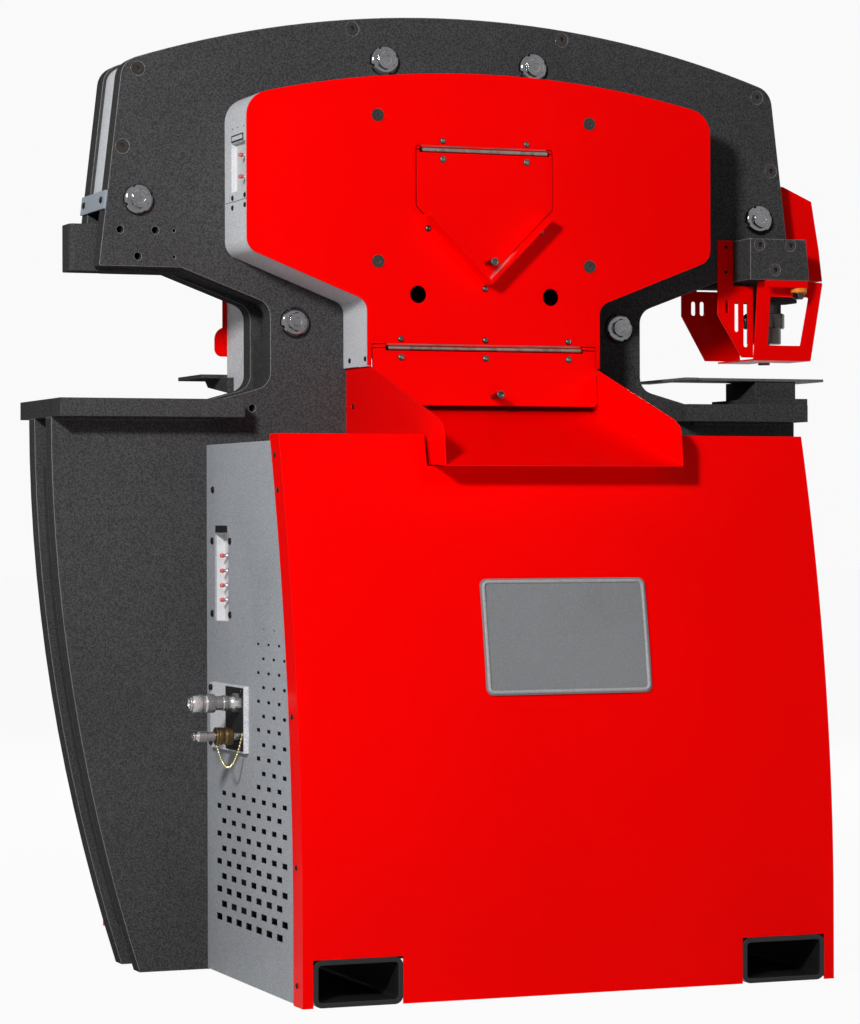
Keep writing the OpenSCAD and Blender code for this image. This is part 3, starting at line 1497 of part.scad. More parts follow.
module cap_chain() {
  color([0.75, 0.60, 0.25])
    for (i = [0:beads - 1]) {
      t = i / (beads - 1);
      p = chain_from + (chain_to - chain_from) * t - [0, 0, 4 * chain_sag * t * (1 - t)];
      q = chain_from + (chain_to - chain_from) * min(1, t + 1 / (beads - 1))
        - [0, 0, 4 * chain_sag * min(1, t + 1 / (beads - 1)) * (1 - min(1, t + 1 / (beads - 1)))];
      translate(p) sphere(d = bead_d, $fn = 10);
      if (i < beads - 1)
        translate(p)
          rotate([0, acos((q - p)[2] / norm(q - p)), atan2((q - p)[1], (q - p)[0])])
            cylinder(d = bead_d * 0.4, h = norm(q - p), $fn = 8);
    }
}

// Blank plate on the front panel, bowed with it
badge_z = cab_h * 0.637;
badge_gap = 0.3;
module badge_plate() {
  low = badge_z - badge_h / 2;
  high = badge_z + badge_h / 2;
  color(grey)
    intersection() {
      along_x(-badge_w / 2 - 1, badge_w + 2)
        polygon(concat(cab_profile(-badge_t, low - 1, high + 1),
          back(cab_profile(-badge_gap, low - 1, high + 1))));
      upright(-face_y - cab_foot_d - 20, cab_foot_d)
        polygon(rounded([[-badge_w / 2, low, badge_r], [badge_w / 2, low, badge_r],
          [badge_w / 2, high, badge_r], [-badge_w / 2, high, badge_r]]));
    }
}

// Operator side

module rear_cover_box() {
  color(grey) cover_box(face_y, rear_neck_half_w, rear_low_z);
}

module rear_cover_plate() {
  color(red)
    difference() {
      upright(cover_in_y, cover_plate_t)
        polygon(cover_outline(-8, rear_neck_half_w, rear_plate_low_z));
      upright(cover_in_y - 1, cover_plate_t + 2)
        polygon(angle_outline(angle_half_w + 6, angle_low_z - 10, angle_top_z + 4));
      for (s = sides, p = cover_screw_at)
        rod_y(s * p[0], p[1], cover_in_y - 1, cover_y + 1, cover_screw_d / 2 + screw_clear);
    }
}

module finger_guard() {
  color(red)
    upright(cover_y, guard_t)
      polygon(rounded([[-finger_half_w, finger_low_z, 14], [finger_half_w, finger_low_z, 14],
        [finger_half_w, finger_low_z + finger_h, 22], [-finger_half_w, finger_low_z + finger_h, 22]]));
}

module feed_table() {
  y0 = cover_in_y + 0.5;
  color(dark) {
    box([-feed_half_w, y0, flat_feed_z - feed_t], [feed_half_w, y0 + feed_d, flat_feed_z]);
    // Brackets under the table, screwed to the cover walls
    for (s = sides)
      along_x(s > 0 ? rear_neck_half_w : -rear_neck_half_w - 12, 12)
        polygon([[y0 - 40, flat_feed_z - feed_t], [y0 + feed_d * 0.68, flat_feed_z - feed_t],
          [y0 + feed_d * 0.55, flat_feed_z - feed_t * 3], [y0 - 40, flat_feed_z - feed_t * 5]]);
  }
}

box_x = cover_half_w - box_w - 2;
box_z = angle_top_z - 32;
start_z = box_z + box_h * 45 / 190;
stop_z = box_z - box_h * 40 / 190;

module control_box() {
  color(grey)
    difference() {
      translate([box_x, cover_y, box_z])
        upright(0, box_d)
          polygon(rounded([[-box_w / 2, -box_h / 2, 10], [box_w / 2, -box_h / 2, 10],
            [box_w / 2, box_h / 2, 10], [-box_w / 2, box_h / 2, 10]]));
      box([box_x - box_w / 2 + 4, cover_y + 4, box_z - box_h / 2 + 4],
        [box_x + box_w / 2 - 4, cover_y + box_d - 4, box_z + box_h / 2 - 4]);
      for (z = [start_z, stop_z])
        rod_y(box_x, z, cover_y + box_d - 10, cover_y + box_d + 1, button_d / 2 + 0.3);
    }
}

module start_button() {
  y = cover_y + box_d;
  color([0.05, 0.5, 0.15])
    rod_y(box_x, start_z, y - 14, y + button_travel + 4, button_d / 2);
}

module stop_button() {
  y = cover_y + box_d;
  color(red) {
    rod_y(box_x, stop_z, y - 14, y + button_travel + 6, button_d / 2);
    rod_y(box_x, stop_z, y + button_travel + 5, y + button_travel + 21, mushroom_d / 2);
  }
}

// Power unit in the rear cabinet, standing on the fork tubes
tank_y = face_y + 30;
module oil_reservoir() {
  half = tube_x + tube_w / 2 - 12;
  color(dark)
    difference() {
      box([-half, tank_y, tube_h], [half, tank_y + tank_d, tube_h + tank_h]);
      box([4 - half, tank_y + 4, tube_h + 4], [half - 4, tank_y + tank_d - 4, tube_h + tank_h - 4]);
    }
}

module pump_motor() {
  z = tube_h + tank_h + motor_d / 2 + 12;
  y = tank_y + tank_d / 2;
  color([0.25, 0.28, 0.32]) {
    rod_x(y, z, -motor_l / 2, motor_l / 2, motor_d / 2);
    box([-motor_l / 2 + 30, y - motor_d / 2, tube_h + tank_h],
      [motor_l / 2 - 30, y + motor_d / 2, tube_h + tank_h + 14]);
    box([-motor_l / 2 + 40, y - 50, tube_h + tank_h + 13], [motor_l / 2 - 40, y + 50, z]);
  }
  color(steel) {
    rod_x(y, z, motor_l / 2, motor_l / 2 + 40, motor_d * 0.4);
    rod_x(y, z, motor_l / 2 + 39, motor_l / 2 + 130, motor_d * 0.28);
  }
}

front_plate();
rear_plate();
throat_fillers();
foot_bars();
arch_strip();
left_table();
right_table();
fork_tubes();
socket_screws();
panel_screws();
guide_adjusters();
guide_pads();
front_cover_box();
front_cover_plate();
drop_lip();
hinge_leaves();
hinge_pins();
chute();
grease_trays();
grease_fittings();
front_panel();
side_panels();
cabinet_tops();
coupler_manifold();
female_coupler();
coupler_sleeve();
male_coupler();
coupler_cap();
cap_chain();
badge_plate();
rear_cover_box();
rear_cover_plate();
finger_guard();
rear_panel();
rear_side_panels();
feed_table();
control_box();
stripper_blocks();
guard_plates();
end_guard();
die_base();
die_holder();
die();
gauge_table();
fixed_blades();
cylinder_barrels();
oil_reservoir();
pump_motor();
guard_bumpers();
ram_beam();
cylinder_rods();
punch_holder();
coupling_nut();
punch();
moving_blades();
angle_door();
flat_door();
window_guard();
start_button();
stop_button();
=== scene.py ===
"""Looks of the ironworker machine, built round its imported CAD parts. Metres, +Z up, floor at z = 0."""
import math

import bpy
import bmesh
import numpy as np
from mathutils import Matrix


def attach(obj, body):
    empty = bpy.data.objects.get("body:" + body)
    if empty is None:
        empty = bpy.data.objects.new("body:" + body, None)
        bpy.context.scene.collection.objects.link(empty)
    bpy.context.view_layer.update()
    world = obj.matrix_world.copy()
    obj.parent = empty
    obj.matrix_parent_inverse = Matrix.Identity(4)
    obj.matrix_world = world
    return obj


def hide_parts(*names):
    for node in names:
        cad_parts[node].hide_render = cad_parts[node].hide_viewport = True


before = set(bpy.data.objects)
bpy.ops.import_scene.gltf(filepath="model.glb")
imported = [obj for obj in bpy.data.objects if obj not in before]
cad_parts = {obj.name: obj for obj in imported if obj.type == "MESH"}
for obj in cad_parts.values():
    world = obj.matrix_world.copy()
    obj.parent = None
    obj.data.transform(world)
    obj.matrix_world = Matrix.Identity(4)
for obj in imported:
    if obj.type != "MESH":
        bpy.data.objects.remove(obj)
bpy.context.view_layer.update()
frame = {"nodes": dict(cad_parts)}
nodes = frame["nodes"]
scene = bpy.context.scene


def add_object(name, data):
    """A new object in the scene, at the origin."""
    thing = bpy.data.objects.new(name, data)
    scene.collection.objects.link(thing)
    return thing


def standing(right, up, back, place):
    """The matrix of a camera or lamp, from its three axes and its place."""
    matrix = np.eye(4)
    matrix[:3] = np.stack([right, up, back, place], 1)
    return Matrix(matrix.tolist())


# Camera

EYE = (-2.188, -5.6057, 0.7808)
AZIMUTH, PITCH, ROLL = math.radians(21.08), math.radians(0.10), math.radians(-0.16)
LENS_MM, SENSOR_MM, FAR_CLIP = 117.13, 36.0, 60.0


def make_camera():
    """Looks along azimuth and pitch from EYE; its right and up axes are turned by the roll."""
    level = math.cos(PITCH)
    ahead = np.array([math.sin(AZIMUTH) * level, math.cos(AZIMUTH) * level, math.sin(PITCH)])
    right = np.array([math.cos(AZIMUTH), -math.sin(AZIMUTH), 0.0])
    up = np.cross(right, ahead)
    rolled_right = right * math.cos(ROLL) + up * math.sin(ROLL)
    rolled_up = up * math.cos(ROLL) - right * math.sin(ROLL)
    data = bpy.data.cameras.new("camera")
    data.lens, data.sensor_width, data.sensor_fit = LENS_MM, SENSOR_MM, "AUTO"
    data.clip_end = FAR_CLIP
    scene.camera = add_object("camera", data)
    scene.camera.matrix_world = standing(rolled_right, rolled_up, -ahead, EYE)


make_camera()

# Surfaces

MERGE, SLIVER = 2e-6, 1e-7
POINT = 1e-5


def unit(v):
    """A vector at length one."""
    v = np.asarray(v, float)
    return v / np.linalg.norm(v)


def across(axis):
    """Two unit vectors square to an axis, which with it make a right-handed set."""
    axis = unit(axis)
    side = unit(np.cross([0.0, 0.0, 1.0] if abs(axis[2]) < 0.9 else [1.0, 0.0, 0.0], axis))
    return side, np.cross(axis, side)


def full_turn(sides):
    """Angles of evenly spaced points round a circle."""
    return np.linspace(0.0, 2 * np.pi, sides, endpoint=False)


def sheet_faces(nu, nv, round_u=False, round_v=False):
    """Quads of a grid of nu by nv points, joined round where asked."""
    u = np.arange(nu if round_u else nu - 1)
    v = np.arange(nv if round_v else nv - 1)
    a, b = np.meshgrid(u, v, indexing="ij")
    a, b = a.ravel(), b.ravel()
    c, d = (a + 1) % nu, (b + 1) % nv
    return np.stack([a * nv + b, c * nv + b, c * nv + d, a * nv + d], 1)


def piece(name, grids, finish, body="frame", replaces=None, sharp=35.0):
    """One mesh object from grids of points, each given as (points, round_u, round_v). Doubles are merged, so
    that seams and poles close, and normals point outwards. It rides on its body and may replace a CAD node."""
    points, faces, start = [], [], 0
    for grid, round_u, round_v in grids:
        nu, nv = grid.shape[:2]
        points.append(grid.reshape(-1, 3))
        faces.append(sheet_faces(nu, nv, round_u, round_v) + start)
        start += nu * nv
    mesh = bpy.data.meshes.new(name)
    mesh.from_pydata(np.concatenate(points).tolist(), [], np.concatenate(faces).tolist())
    work = bmesh.new()
    work.from_mesh(mesh)
    bmesh.ops.remove_doubles(work, verts=work.verts, dist=MERGE)
    bmesh.ops.dissolve_degenerate(work, edges=work.edges, dist=SLIVER)
    bmesh.ops.recalc_face_normals(work, faces=work.faces)
    work.to_mesh(mesh)
    work.free()
    mesh.shade_smooth()
    mesh.set_sharp_from_angle(angle=math.radians(sharp))
    mesh.materials.append(finish)
    thing = add_object(name, mesh)
    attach(thing, body)
    if replaces:
        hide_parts(replaces)


def turned(profile, origin, axis, sides=40, corners=0):
    """A profile of (distance along the axis, radius) carried round the axis. With corners, the radius is
    stretched to a polygon's flat sides where the profile's third value is 1."""
    prof = np.asarray([tuple(p) + (0,) * (3 - len(p)) for p in profile], float)
    side, up = across(axis)
    turn = full_turn(sides)
    stretch = np.ones((len(prof), sides))
    if corners:
        step = 2 * np.pi / corners
        flat = math.cos(step / 2) / np.cos((turn + step / 2) % step - step / 2)
        stretch = 1 + prof[:, 2:3] * (flat[None, :] - 1)
    radius = prof[:, 1:2] * stretch
    ring = np.cos(turn)[:, None] * side + np.sin(turn)[:, None] * up
    along = prof[:, 0][:, None, None] * unit(axis)
    return np.asarray(origin, float) + along + radius[..., None] * ring[None], False, True


def press_in(grid, origin, axis, mask, share):
    """A turned grid whose points under the mask move towards the axis by a share of their distance from it."""
    out = grid - np.asarray(origin, float)
    radial = out - (out @ unit(axis))[..., None] * unit(axis)
    return grid - radial * share * mask


def circles(ahead, guide, sides):
    """Unit circles square to each direction, each started from the direction's cross product with a guide."""
    ahead = ahead / np.linalg.norm(ahead, axis=1)[:, None]
    side = np.cross(ahead, guide)
    side /= np.linalg.norm(side, axis=1)[:, None]
    up = np.cross(ahead, side)
    turn = full_turn(sides)
    return np.cos(turn)[None, :, None] * side[:, None] + np.sin(turn)[None, :, None] * up[:, None]


def rod_along(path, radius, sides):
    """A round section with its own radius at each point of a path, closed to a point at both ends."""
    radius[[0, -1]] = POINT
    askew = (0.13, 0.91, 0.39)
    return path[:, None] + radius[:, None, None] * circles(np.gradient(path, axis=0), askew, sides), False, True


def ring_path(path, radius, sides=10):
    """A round section of one radius carried round a closed path."""
    ahead = np.roll(path, -1, 0) - np.roll(path, 1, 0)
    return path[:, None] + radius * circles(ahead, (0.0, 1.0, 0.0), sides), True, True


def rounded_rectangle(w, h, r, n=6):
    """Closed outline of a rectangle whose corners are quarter circles."""
    turn = np.linspace(0, np.pi / 2, n)
    corners = []
    for k, (cx, cy) in enumerate([(1, 1), (-1, 1), (-1, -1), (1, -1)]):
        a = turn + k * np.pi / 2
        corners.append(np.stack([cx * (w / 2 - r) + r * np.cos(a), cy * (h / 2 - r) + r * np.sin(a)], 1))
    return np.concatenate(corners)


def left_plate(w, h, r, t, bevel, origin):
    """A flat plate on a face that looks along -x: a rounded rectangle raised by t, its front edge bevelled."""
    right, up, out = np.array([0.0, -1.0, 0.0]), np.array([0.0, 0.0, 1.0]), np.array([-1.0, 0.0, 0.0])
    outline = rounded_rectangle(w, h, r)
    inner = outline * (1 - bevel / np.abs(outline).max(0))
    rows = [(outline * 0, 0.0), (outline, 0.0), (outline, t - bevel), (inner, t), (inner * 0, t)]
    grid = [np.asarray(origin) + o[:, :1] * right + o[:, 1:] * up + lift * out for o, lift in rows]
    return np.array(grid), False, True


# Shaders


class Value:
    """A shader socket with arithmetic: each operator adds one Math node to its tree."""

    def __init__(self, nodes, socket):
        self.nodes, self.socket = nodes, socket

    def __add__(self, other): return self.nodes.math("ADD", self, other)
    def __radd__(self, other): return self.nodes.math("ADD", other, self)
    def __sub__(self, other): return self.nodes.math("SUBTRACT", self, other)
    def __rsub__(self, other): return self.nodes.math("SUBTRACT", other, self)
    def __mul__(self, other): return self.nodes.math("MULTIPLY", self, other)
    def __rmul__(self, other): return self.nodes.math("MULTIPLY", other, self)
    def __pow__(self, other): return self.nodes.math("POWER", self, other)


class Nodes:
    """A node tree; every node in it is added by make."""

    def __init__(self, tree):
        self.tree = tree

    def make(self, kind, settings=None, inputs=None, out=0):
        """Adds a node: its settings are set first, then its sockets get values or links."""
        node = self.tree.nodes.new(kind)
        for key, value in (settings or {}).items():
            setattr(node, key, value)
        for key, value in (inputs or {}).items():
            self.link(node.inputs[key], value)
        return Value(self, node.outputs[out])

    def link(self, socket, value):
        """Joins a socket to another one, or sets its number or colour."""
        if isinstance(value, Value):
            self.tree.links.new(value.socket, socket)
        else:
            socket.default_value = value

    def math(self, operation, *values):
        """One Math node."""
        return self.make("ShaderNodeMath", {"operation": operation}, dict(enumerate(values)))

    def seen_plainly(self):
        """1 for camera, mirror and glass rays, 0 for the rays that carry light between surfaces."""
        camera, mirror, glass = (self.make("ShaderNodeLightPath", out=o)
                                 for o in ("Is Camera Ray", "Is Glossy Ray", "Is Transmission Ray"))
        return self.math("MINIMUM", camera + mirror + glass, 1.0)


class Finish(Nodes):
    """A material; shader is its Principled node, whose even values are set as constants."""

    def __init__(self, name, **constants):
        self.material = bpy.data.materials.new(name)
        self.material.use_nodes = True
        super().__init__(self.material.node_tree)
        self.shader = self.tree.nodes["Principled BSDF"]
        for key, value in constants.items():
            self.shader.inputs[key.replace("_", " ")].default_value = value

    def where(self):
        """The place on the piece, in metres."""
        return self.make("ShaderNodeTexCoord", out="Object")

    def noise(self, at, scale, detail, rough):
        """Cloudy noise about 0.5, with scale swings in a metre."""
        return self.make("ShaderNodeTexNoise", {},
                         {"Vector": at, "Scale": scale, "Detail": detail, "Roughness": rough})

    def band(self, value, low, high):
        """0 below low, 1 above high, smooth between."""
        return self.make("ShaderNodeMapRange", {"interpolation_type": "SMOOTHSTEP"},
                         {"Value": value, "From Min": low, "From Max": high})

    def mix(self, factor, a, b):
        """Colour a where the factor is 0, colour b where it is 1."""
        a, b = (c if isinstance(c, Value) else tuple(c) + (1.0,) for c in (a, b))
        return self.make("ShaderNodeMix", {"data_type": "RGBA"}, {0: factor, 6: a, 7: b}, out=2)

    def along(self, vector, axis):
        """One of a vector's three values."""
        return self.make("ShaderNodeSeparateXYZ", {}, {0: vector}, out=axis)

    def below(self, at, low, high):
        """1 under the height low, 0 over the height high."""
        return 1.0 - self.band(self.along(at, "Z"), low, high)

    def cut_faces(self, axis):
        """1 on the faces that look neither way along an axis."""
        facing = self.along(self.make("ShaderNodeTexCoord", out="Normal"), axis)
        return 1.0 - self.band(self.math("ABSOLUTE", facing), 0.4, 0.6)

    def edges(self, radius):
        """Rounded normal and a mask of the edges: how far the rounded normal turns from the true one."""
        soft = self.make("ShaderNodeBevel", {"samples": 4}, {"Radius": radius})
        hard = self.make("ShaderNodeNewGeometry", out="Normal")
        same = self.make("ShaderNodeVectorMath", {"operation": "DOT_PRODUCT"}, {0: soft, 1: hard}, out="Value")
        return soft, self.math("MAXIMUM", 1.0 - same, 0.0)

    def bare_metal(self, at, hinge, lean):
        """Mask of a door that leans about its hinge line, given as y, z and half length: the knuckles round
        that line, and what stands outside the door's face."""
        x, y, z = (self.along(at, axis) for axis in "XYZ")
        dy, dz = y - hinge[0], z - hinge[1]
        knuckle = 1.0 - self.band((dy * dy + dz * dz) ** 0.5, 0.0043, 0.0046)
        knuckle = knuckle * (1.0 - self.band(self.math("ABSOLUTE", x), hinge[2], hinge[2] + 0.0003))
        proud = 1.0 - self.band(dy * math.cos(lean) - dz * math.sin(lean), -0.0022, -0.0016)
        return self.math("MAXIMUM", knuckle, proud)

    def bump(self, height, strength, distance, normal):
        """Feeds the shader's Normal from a height."""
        self.put(Normal=self.make("ShaderNodeBump", {}, {
            "Height": height, "Strength": strength, "Distance": distance, "Normal": normal}))

    def put(self, **sockets):
        """Joins the shader's sockets to values, and returns the material."""
        for key, value in sockets.items():
            self.link(self.shader.inputs[key.replace("_", " ")], value)
        return self.material


# Finishes

ANGLE_HINGE, FLAT_HINGE = (-0.200, 1.421, 0.118), (-0.200, 1.075, 0.182)
DOOR_LEAN = math.radians(4.0)
STRIP_END, HOLES_TOP = 1.3455, 0.585
# The third red is painted shade on a door's cut edges, for the dark gap round the door.
RED_PAINT, RED_FOLD, PAINTED_GAP_SHADE = (0.97, 0.0, 0.0), (0.95, 0.06, 0.05), (0.10, 0.0, 0.0)
KNUCKLE, KNUCKLE_STAIN = (0.27, 0.24, 0.22), (0.16, 0.13, 0.10)
COAL, GLINT = (0.055, 0.054, 0.056), (0.46, 0.46, 0.47)
# The third colour here is painted shade for the walls of punched holes.
SHEET_GREY, BRACKET_GREY, PAINTED_HOLE_SHADE = (0.335, 0.350, 0.375), (0.295, 0.335, 0.385), (0.012, 0.012, 0.013)
# Edge colours for bare metal: the first lightens dark steel's worn edges, the second is a painted highlight on
# bright metal's edges.
WORN_DARK, PAINTED_EDGE_HIGHLIGHT = (0.30, 0.30, 0.30), (0.75, 0.75, 0.75)


def tone(colour, k):
    """A colour times a number, no brighter than white."""
    return tuple(min(1.0, c * k) for c in colour)


def powder_coat(name, colour, grain, height, rough, level, soft=0.0015, rim=None, rim_mix=0.5, grit=0.18,
                holes=None, low=None):
    """Powder coat: small even grain whose tone swings by the grit, faint clouds, and edges mixed towards the
    rim colour, a painted highlight along the edges. Below the height given as holes, cut faces that don't look
    along x are painted dark, painted shade on the walls of punched holes. With low, a height and a colour, the
    coat has that colour below."""
    f = Finish(name, Specular_IOR_Level=level)
    at = f.where()
    fine = f.noise(at, scale=grain, detail=3.0, rough=0.6)
    speck = f.noise(at, scale=grain * 0.37, detail=1.0, rough=0.5)
    lumps = f.band(f.noise(at, scale=grain * 0.6, detail=2.0, rough=0.6), 0.38, 0.62)
    cloud = f.band(f.noise(at, scale=3.1, detail=4.0, rough=0.55), 0.3, 0.7)
    normal, edge = f.edges(soft)
    hills, pits = (f.mix(cloud, tone(colour, 0.92 * k), tone(colour, 1.08 * k)) for k in (1 + grit, 1 - grit))
    shade = f.mix(lumps, pits, hills)
    shade = f.mix(f.band(speck, 0.58, 0.76) * 0.35, shade, tone(colour, 1.6))
    # Edges mixed towards the rim colour: a painted highlight along the edges.
    if rim:
        shade = f.mix(f.band(edge, 0.02, 0.22) * rim_mix, shade, rim)
    if low:
        shade = f.mix(f.below(at, low[0] - 0.0005, low[0] + 0.0005), shade, low[1])
    # Painted shade: cut faces of the punched holes are painted near black.
    if holes:
        shade = f.mix(f.cut_faces("X") * f.below(at, holes, holes + 0.002), shade, PAINTED_HOLE_SHADE)
    f.bump(fine + speck * 0.5, 0.6, height, normal)
    return f.put(Base_Color=shade, Roughness=rough + (fine - 0.5) * 0.18)


def gloss_red(name, hinge=None, lean=0.0):
    """Smooth gloss coat with a faint orange peel; folds catch light. With hinge, the knuckles, pulls and screw
    heads of that door are bare metal, and its cut edge faces are painted dark red, painted shade for the gap
    round the door."""
    f = Finish(name, Specular_IOR_Level=0.02, Coat_Weight=0.03, Coat_Roughness=0.06, Coat_IOR=1.4)
    at = f.where()
    peel = f.noise(at, scale=240.0, detail=2.0, rough=0.5)
    cloud = f.noise(at, scale=2.3, detail=3.0, rough=0.5)
    normal, edge = f.edges(0.0012)
    shade = f.mix(f.band(cloud, 0.3, 0.7), tone(RED_PAINT, 0.95), RED_PAINT)
    shade = f.mix(f.band(edge, 0.03, 0.30) * 0.25, shade, RED_FOLD)
    rough = 0.30 + (cloud - 0.5) * 0.08
    if hinge:
        bare = f.bare_metal(at, hinge, lean)
        smudge = f.noise(at, scale=90.0, detail=3.0, rough=0.6)
        # Painted shade: the door's cut edge faces are painted dark, as the gap round it would look.
        shade = f.mix(f.cut_faces("Y"), shade, PAINTED_GAP_SHADE)
        shade = f.mix(bare, shade, f.mix(f.band(smudge, 0.35, 0.7), KNUCKLE, KNUCKLE_STAIN))
        rough = rough + bare * 0.02
        f.put(Metallic=bare)
    f.bump(peel, 0.25, 0.0002, normal)
    return f.put(Base_Color=shade, Roughness=rough)


def metal(name, colour, rough, streak=0.0, soft=0.0008, tint=None, rim=None):
    """Bare metal: faint machining streaks and smudges in the gloss, edges in the rim colour: wear on the dark
    steels, a painted highlight on bright metal and screw heads.
    """
    f = Finish(name, Metallic=1.0)
    at = f.where()
    smudge = f.noise(at, scale=38.0, detail=4.0, rough=0.6)
    drawn = f.make("ShaderNodeMapping", {}, {"Vector": at, "Scale": (1.0, 1.0, 0.06)})
    lines = f.noise(drawn, scale=700.0, detail=2.0, rough=0.6)
    normal, edge = f.edges(soft)
    shade = f.mix(f.band(smudge, 0.35, 0.75), colour, tint or tone(colour, 0.72))
    # Edges mixed towards the rim colour: wear, and with the brighter rims a painted highlight.
    if rim:
        shade = f.mix(f.band(edge, 0.02, 0.25), shade, rim)
    f.bump(lines, 0.3, 0.00005 + streak * 0.0001, normal)
    return f.put(Base_Color=shade, Roughness=rough + (smudge - 0.5) * 0.22)


def plastic(name, colour, rough, level=0.4):
    """Moulded plastic or urethane: fine stipple and slight scuffs."""
    f = Finish(name, Specular_IOR_Level=level)
    at = f.where()
    stipple = f.noise(at, scale=900.0, detail=1.0, rough=0.5)
    scuff = f.noise(at, scale=60.0, detail=4.0, rough=0.6)
    f.bump(stipple, 0.2, 0.0001, f.edges(0.0008)[0])
    shade = f.mix(f.band(scuff, 0.45, 0.8), colour, tone(colour, 0.82))
    return f.put(Base_Color=shade, Roughness=rough + (scuff - 0.5) * 0.2)


FRAME_COAT = dict(grain=620.0, height=0.0007, rough=0.55, level=0.0, grit=0.34)
SHEET_COAT = dict(grain=800.0, height=0.0004, rough=0.50, level=0.05, soft=0.0014, rim=(0.52, 0.53, 0.55),
                  rim_mix=0.4)
SATIN_COAT = dict(height=0.0003, rough=0.48, soft=0.0014, rim_mix=0.4)

# The plates' rim in GLINT is a painted bright highlight along their edges.
PLATE_COAT = powder_coat("plate_coat", COAL, soft=0.0026, rim=GLINT, rim_mix=0.8, **FRAME_COAT)
CHARCOAL = powder_coat("charcoal_coat", COAL, soft=0.0022, rim=(0.12, 0.12, 0.125), rim_mix=0.6, **FRAME_COAT)
GREY = powder_coat("grey_coat", SHEET_GREY, **SHEET_COAT)
PUNCHED_GREY = powder_coat("punched_grey_coat", SHEET_GREY, holes=HOLES_TOP, **SHEET_COAT)
# Lighter than the charcoal coat: painted light, so the table that lies in shade reads as lit.
GAUGE_COAT = powder_coat("gauge_coat", (0.15, 0.148, 0.145), grain=620.0, height=0.0004, rough=0.55, level=0.05,
                         rim=(0.40, 0.40, 0.40), rim_mix=0.6)
PALE_GREY = powder_coat("pale_grey_coat", (0.62, 0.63, 0.655), grain=800.0, level=0.05, rim=(0.78, 0.79, 0.80),
                        **SATIN_COAT)
ARCH_GREY = powder_coat("arch_coat", (0.64, 0.655, 0.69), grain=800.0, level=0.08, rim=(0.72, 0.73, 0.74),
                        low=(STRIP_END, BRACKET_GREY), **SATIN_COAT)
BADGE_GREY = powder_coat("badge_coat", (0.212, 0.219, 0.229), grain=900.0, level=0.05, rim=(0.30, 0.31, 0.32),
                         grit=0.06, **SATIN_COAT)
BEAD_GREY = powder_coat("badge_bead_coat", (0.34, 0.35, 0.36), grain=900.0, height=0.0002, rough=0.45,
                        level=0.10, soft=0.0010)
TUBE_BLACK = powder_coat("black_coat", (0.012, 0.012, 0.013), grain=700.0, height=0.0005, rough=0.36,
                         level=0.25, soft=0.003, rim=(0.05, 0.05, 0.05))
MOTOR_BLUE = powder_coat("motor_coat", (0.05, 0.065, 0.085), grain=600.0, height=0.0004, rough=0.45, level=0.2)
RED = gloss_red("red_coat")
ANGLE_DOOR_RED = gloss_red("angle_door_coat", ANGLE_HINGE)
FLAT_DOOR_RED = gloss_red("flat_door_coat", FLAT_HINGE, DOOR_LEAN)
BLACK_STEEL = metal("black_oxide", (0.020, 0.019, 0.019), 0.40, soft=0.0012, rim=WORN_DARK)
# Its light grey rim is a painted highlight on the screw heads' edges.
SCREW_STEEL = metal("screw_steel", (0.095, 0.085, 0.080), 0.22, soft=0.0010, rim=(0.5, 0.5, 0.5))
TOOL_STEEL = metal("tool_steel", (0.055, 0.050, 0.046), 0.30, streak=1.0, rim=WORN_DARK)
CHROME = metal("chrome_plate", (0.20, 0.20, 0.21), 0.10, soft=0.0012, rim=PAINTED_EDGE_HIGHLIGHT)
STEEL = metal("ground_steel", (0.48, 0.48, 0.47), 0.28, streak=1.0, rim=PAINTED_EDGE_HIGHLIGHT)
ALUMINIUM = metal("bare_aluminium", (0.58, 0.58, 0.60), 0.38, streak=1.0)
ZINC = metal("zinc_plate", KNUCKLE, 0.32, tint=KNUCKLE_STAIN)
BRONZE = metal("guide_bronze", (0.60, 0.40, 0.18), 0.35)
BRASS = metal("bead_brass", (0.80, 0.66, 0.34), 0.22)
CAP_BROWN = metal("passivated_cap", (0.17, 0.115, 0.05), 0.34)
WHITE_TRAY = plastic("tray_white", (0.66, 0.66, 0.67), 0.50, 0.1)
ORANGE = plastic("orange_urethane", (0.92, 0.26, 0.02), 0.40, 0.2)
GREEN = plastic("start_green", (0.02, 0.30, 0.07), 0.28)
STOP_RED = plastic("stop_red", (0.62, 0.02, 0.015), 0.30)
FITTING_RED = plastic("fitting_cap_red", (0.62, 0.10, 0.08), 0.30)
TAG_BLACK = plastic("tag_black", (0.02, 0.02, 0.021), 0.40, 0.1)

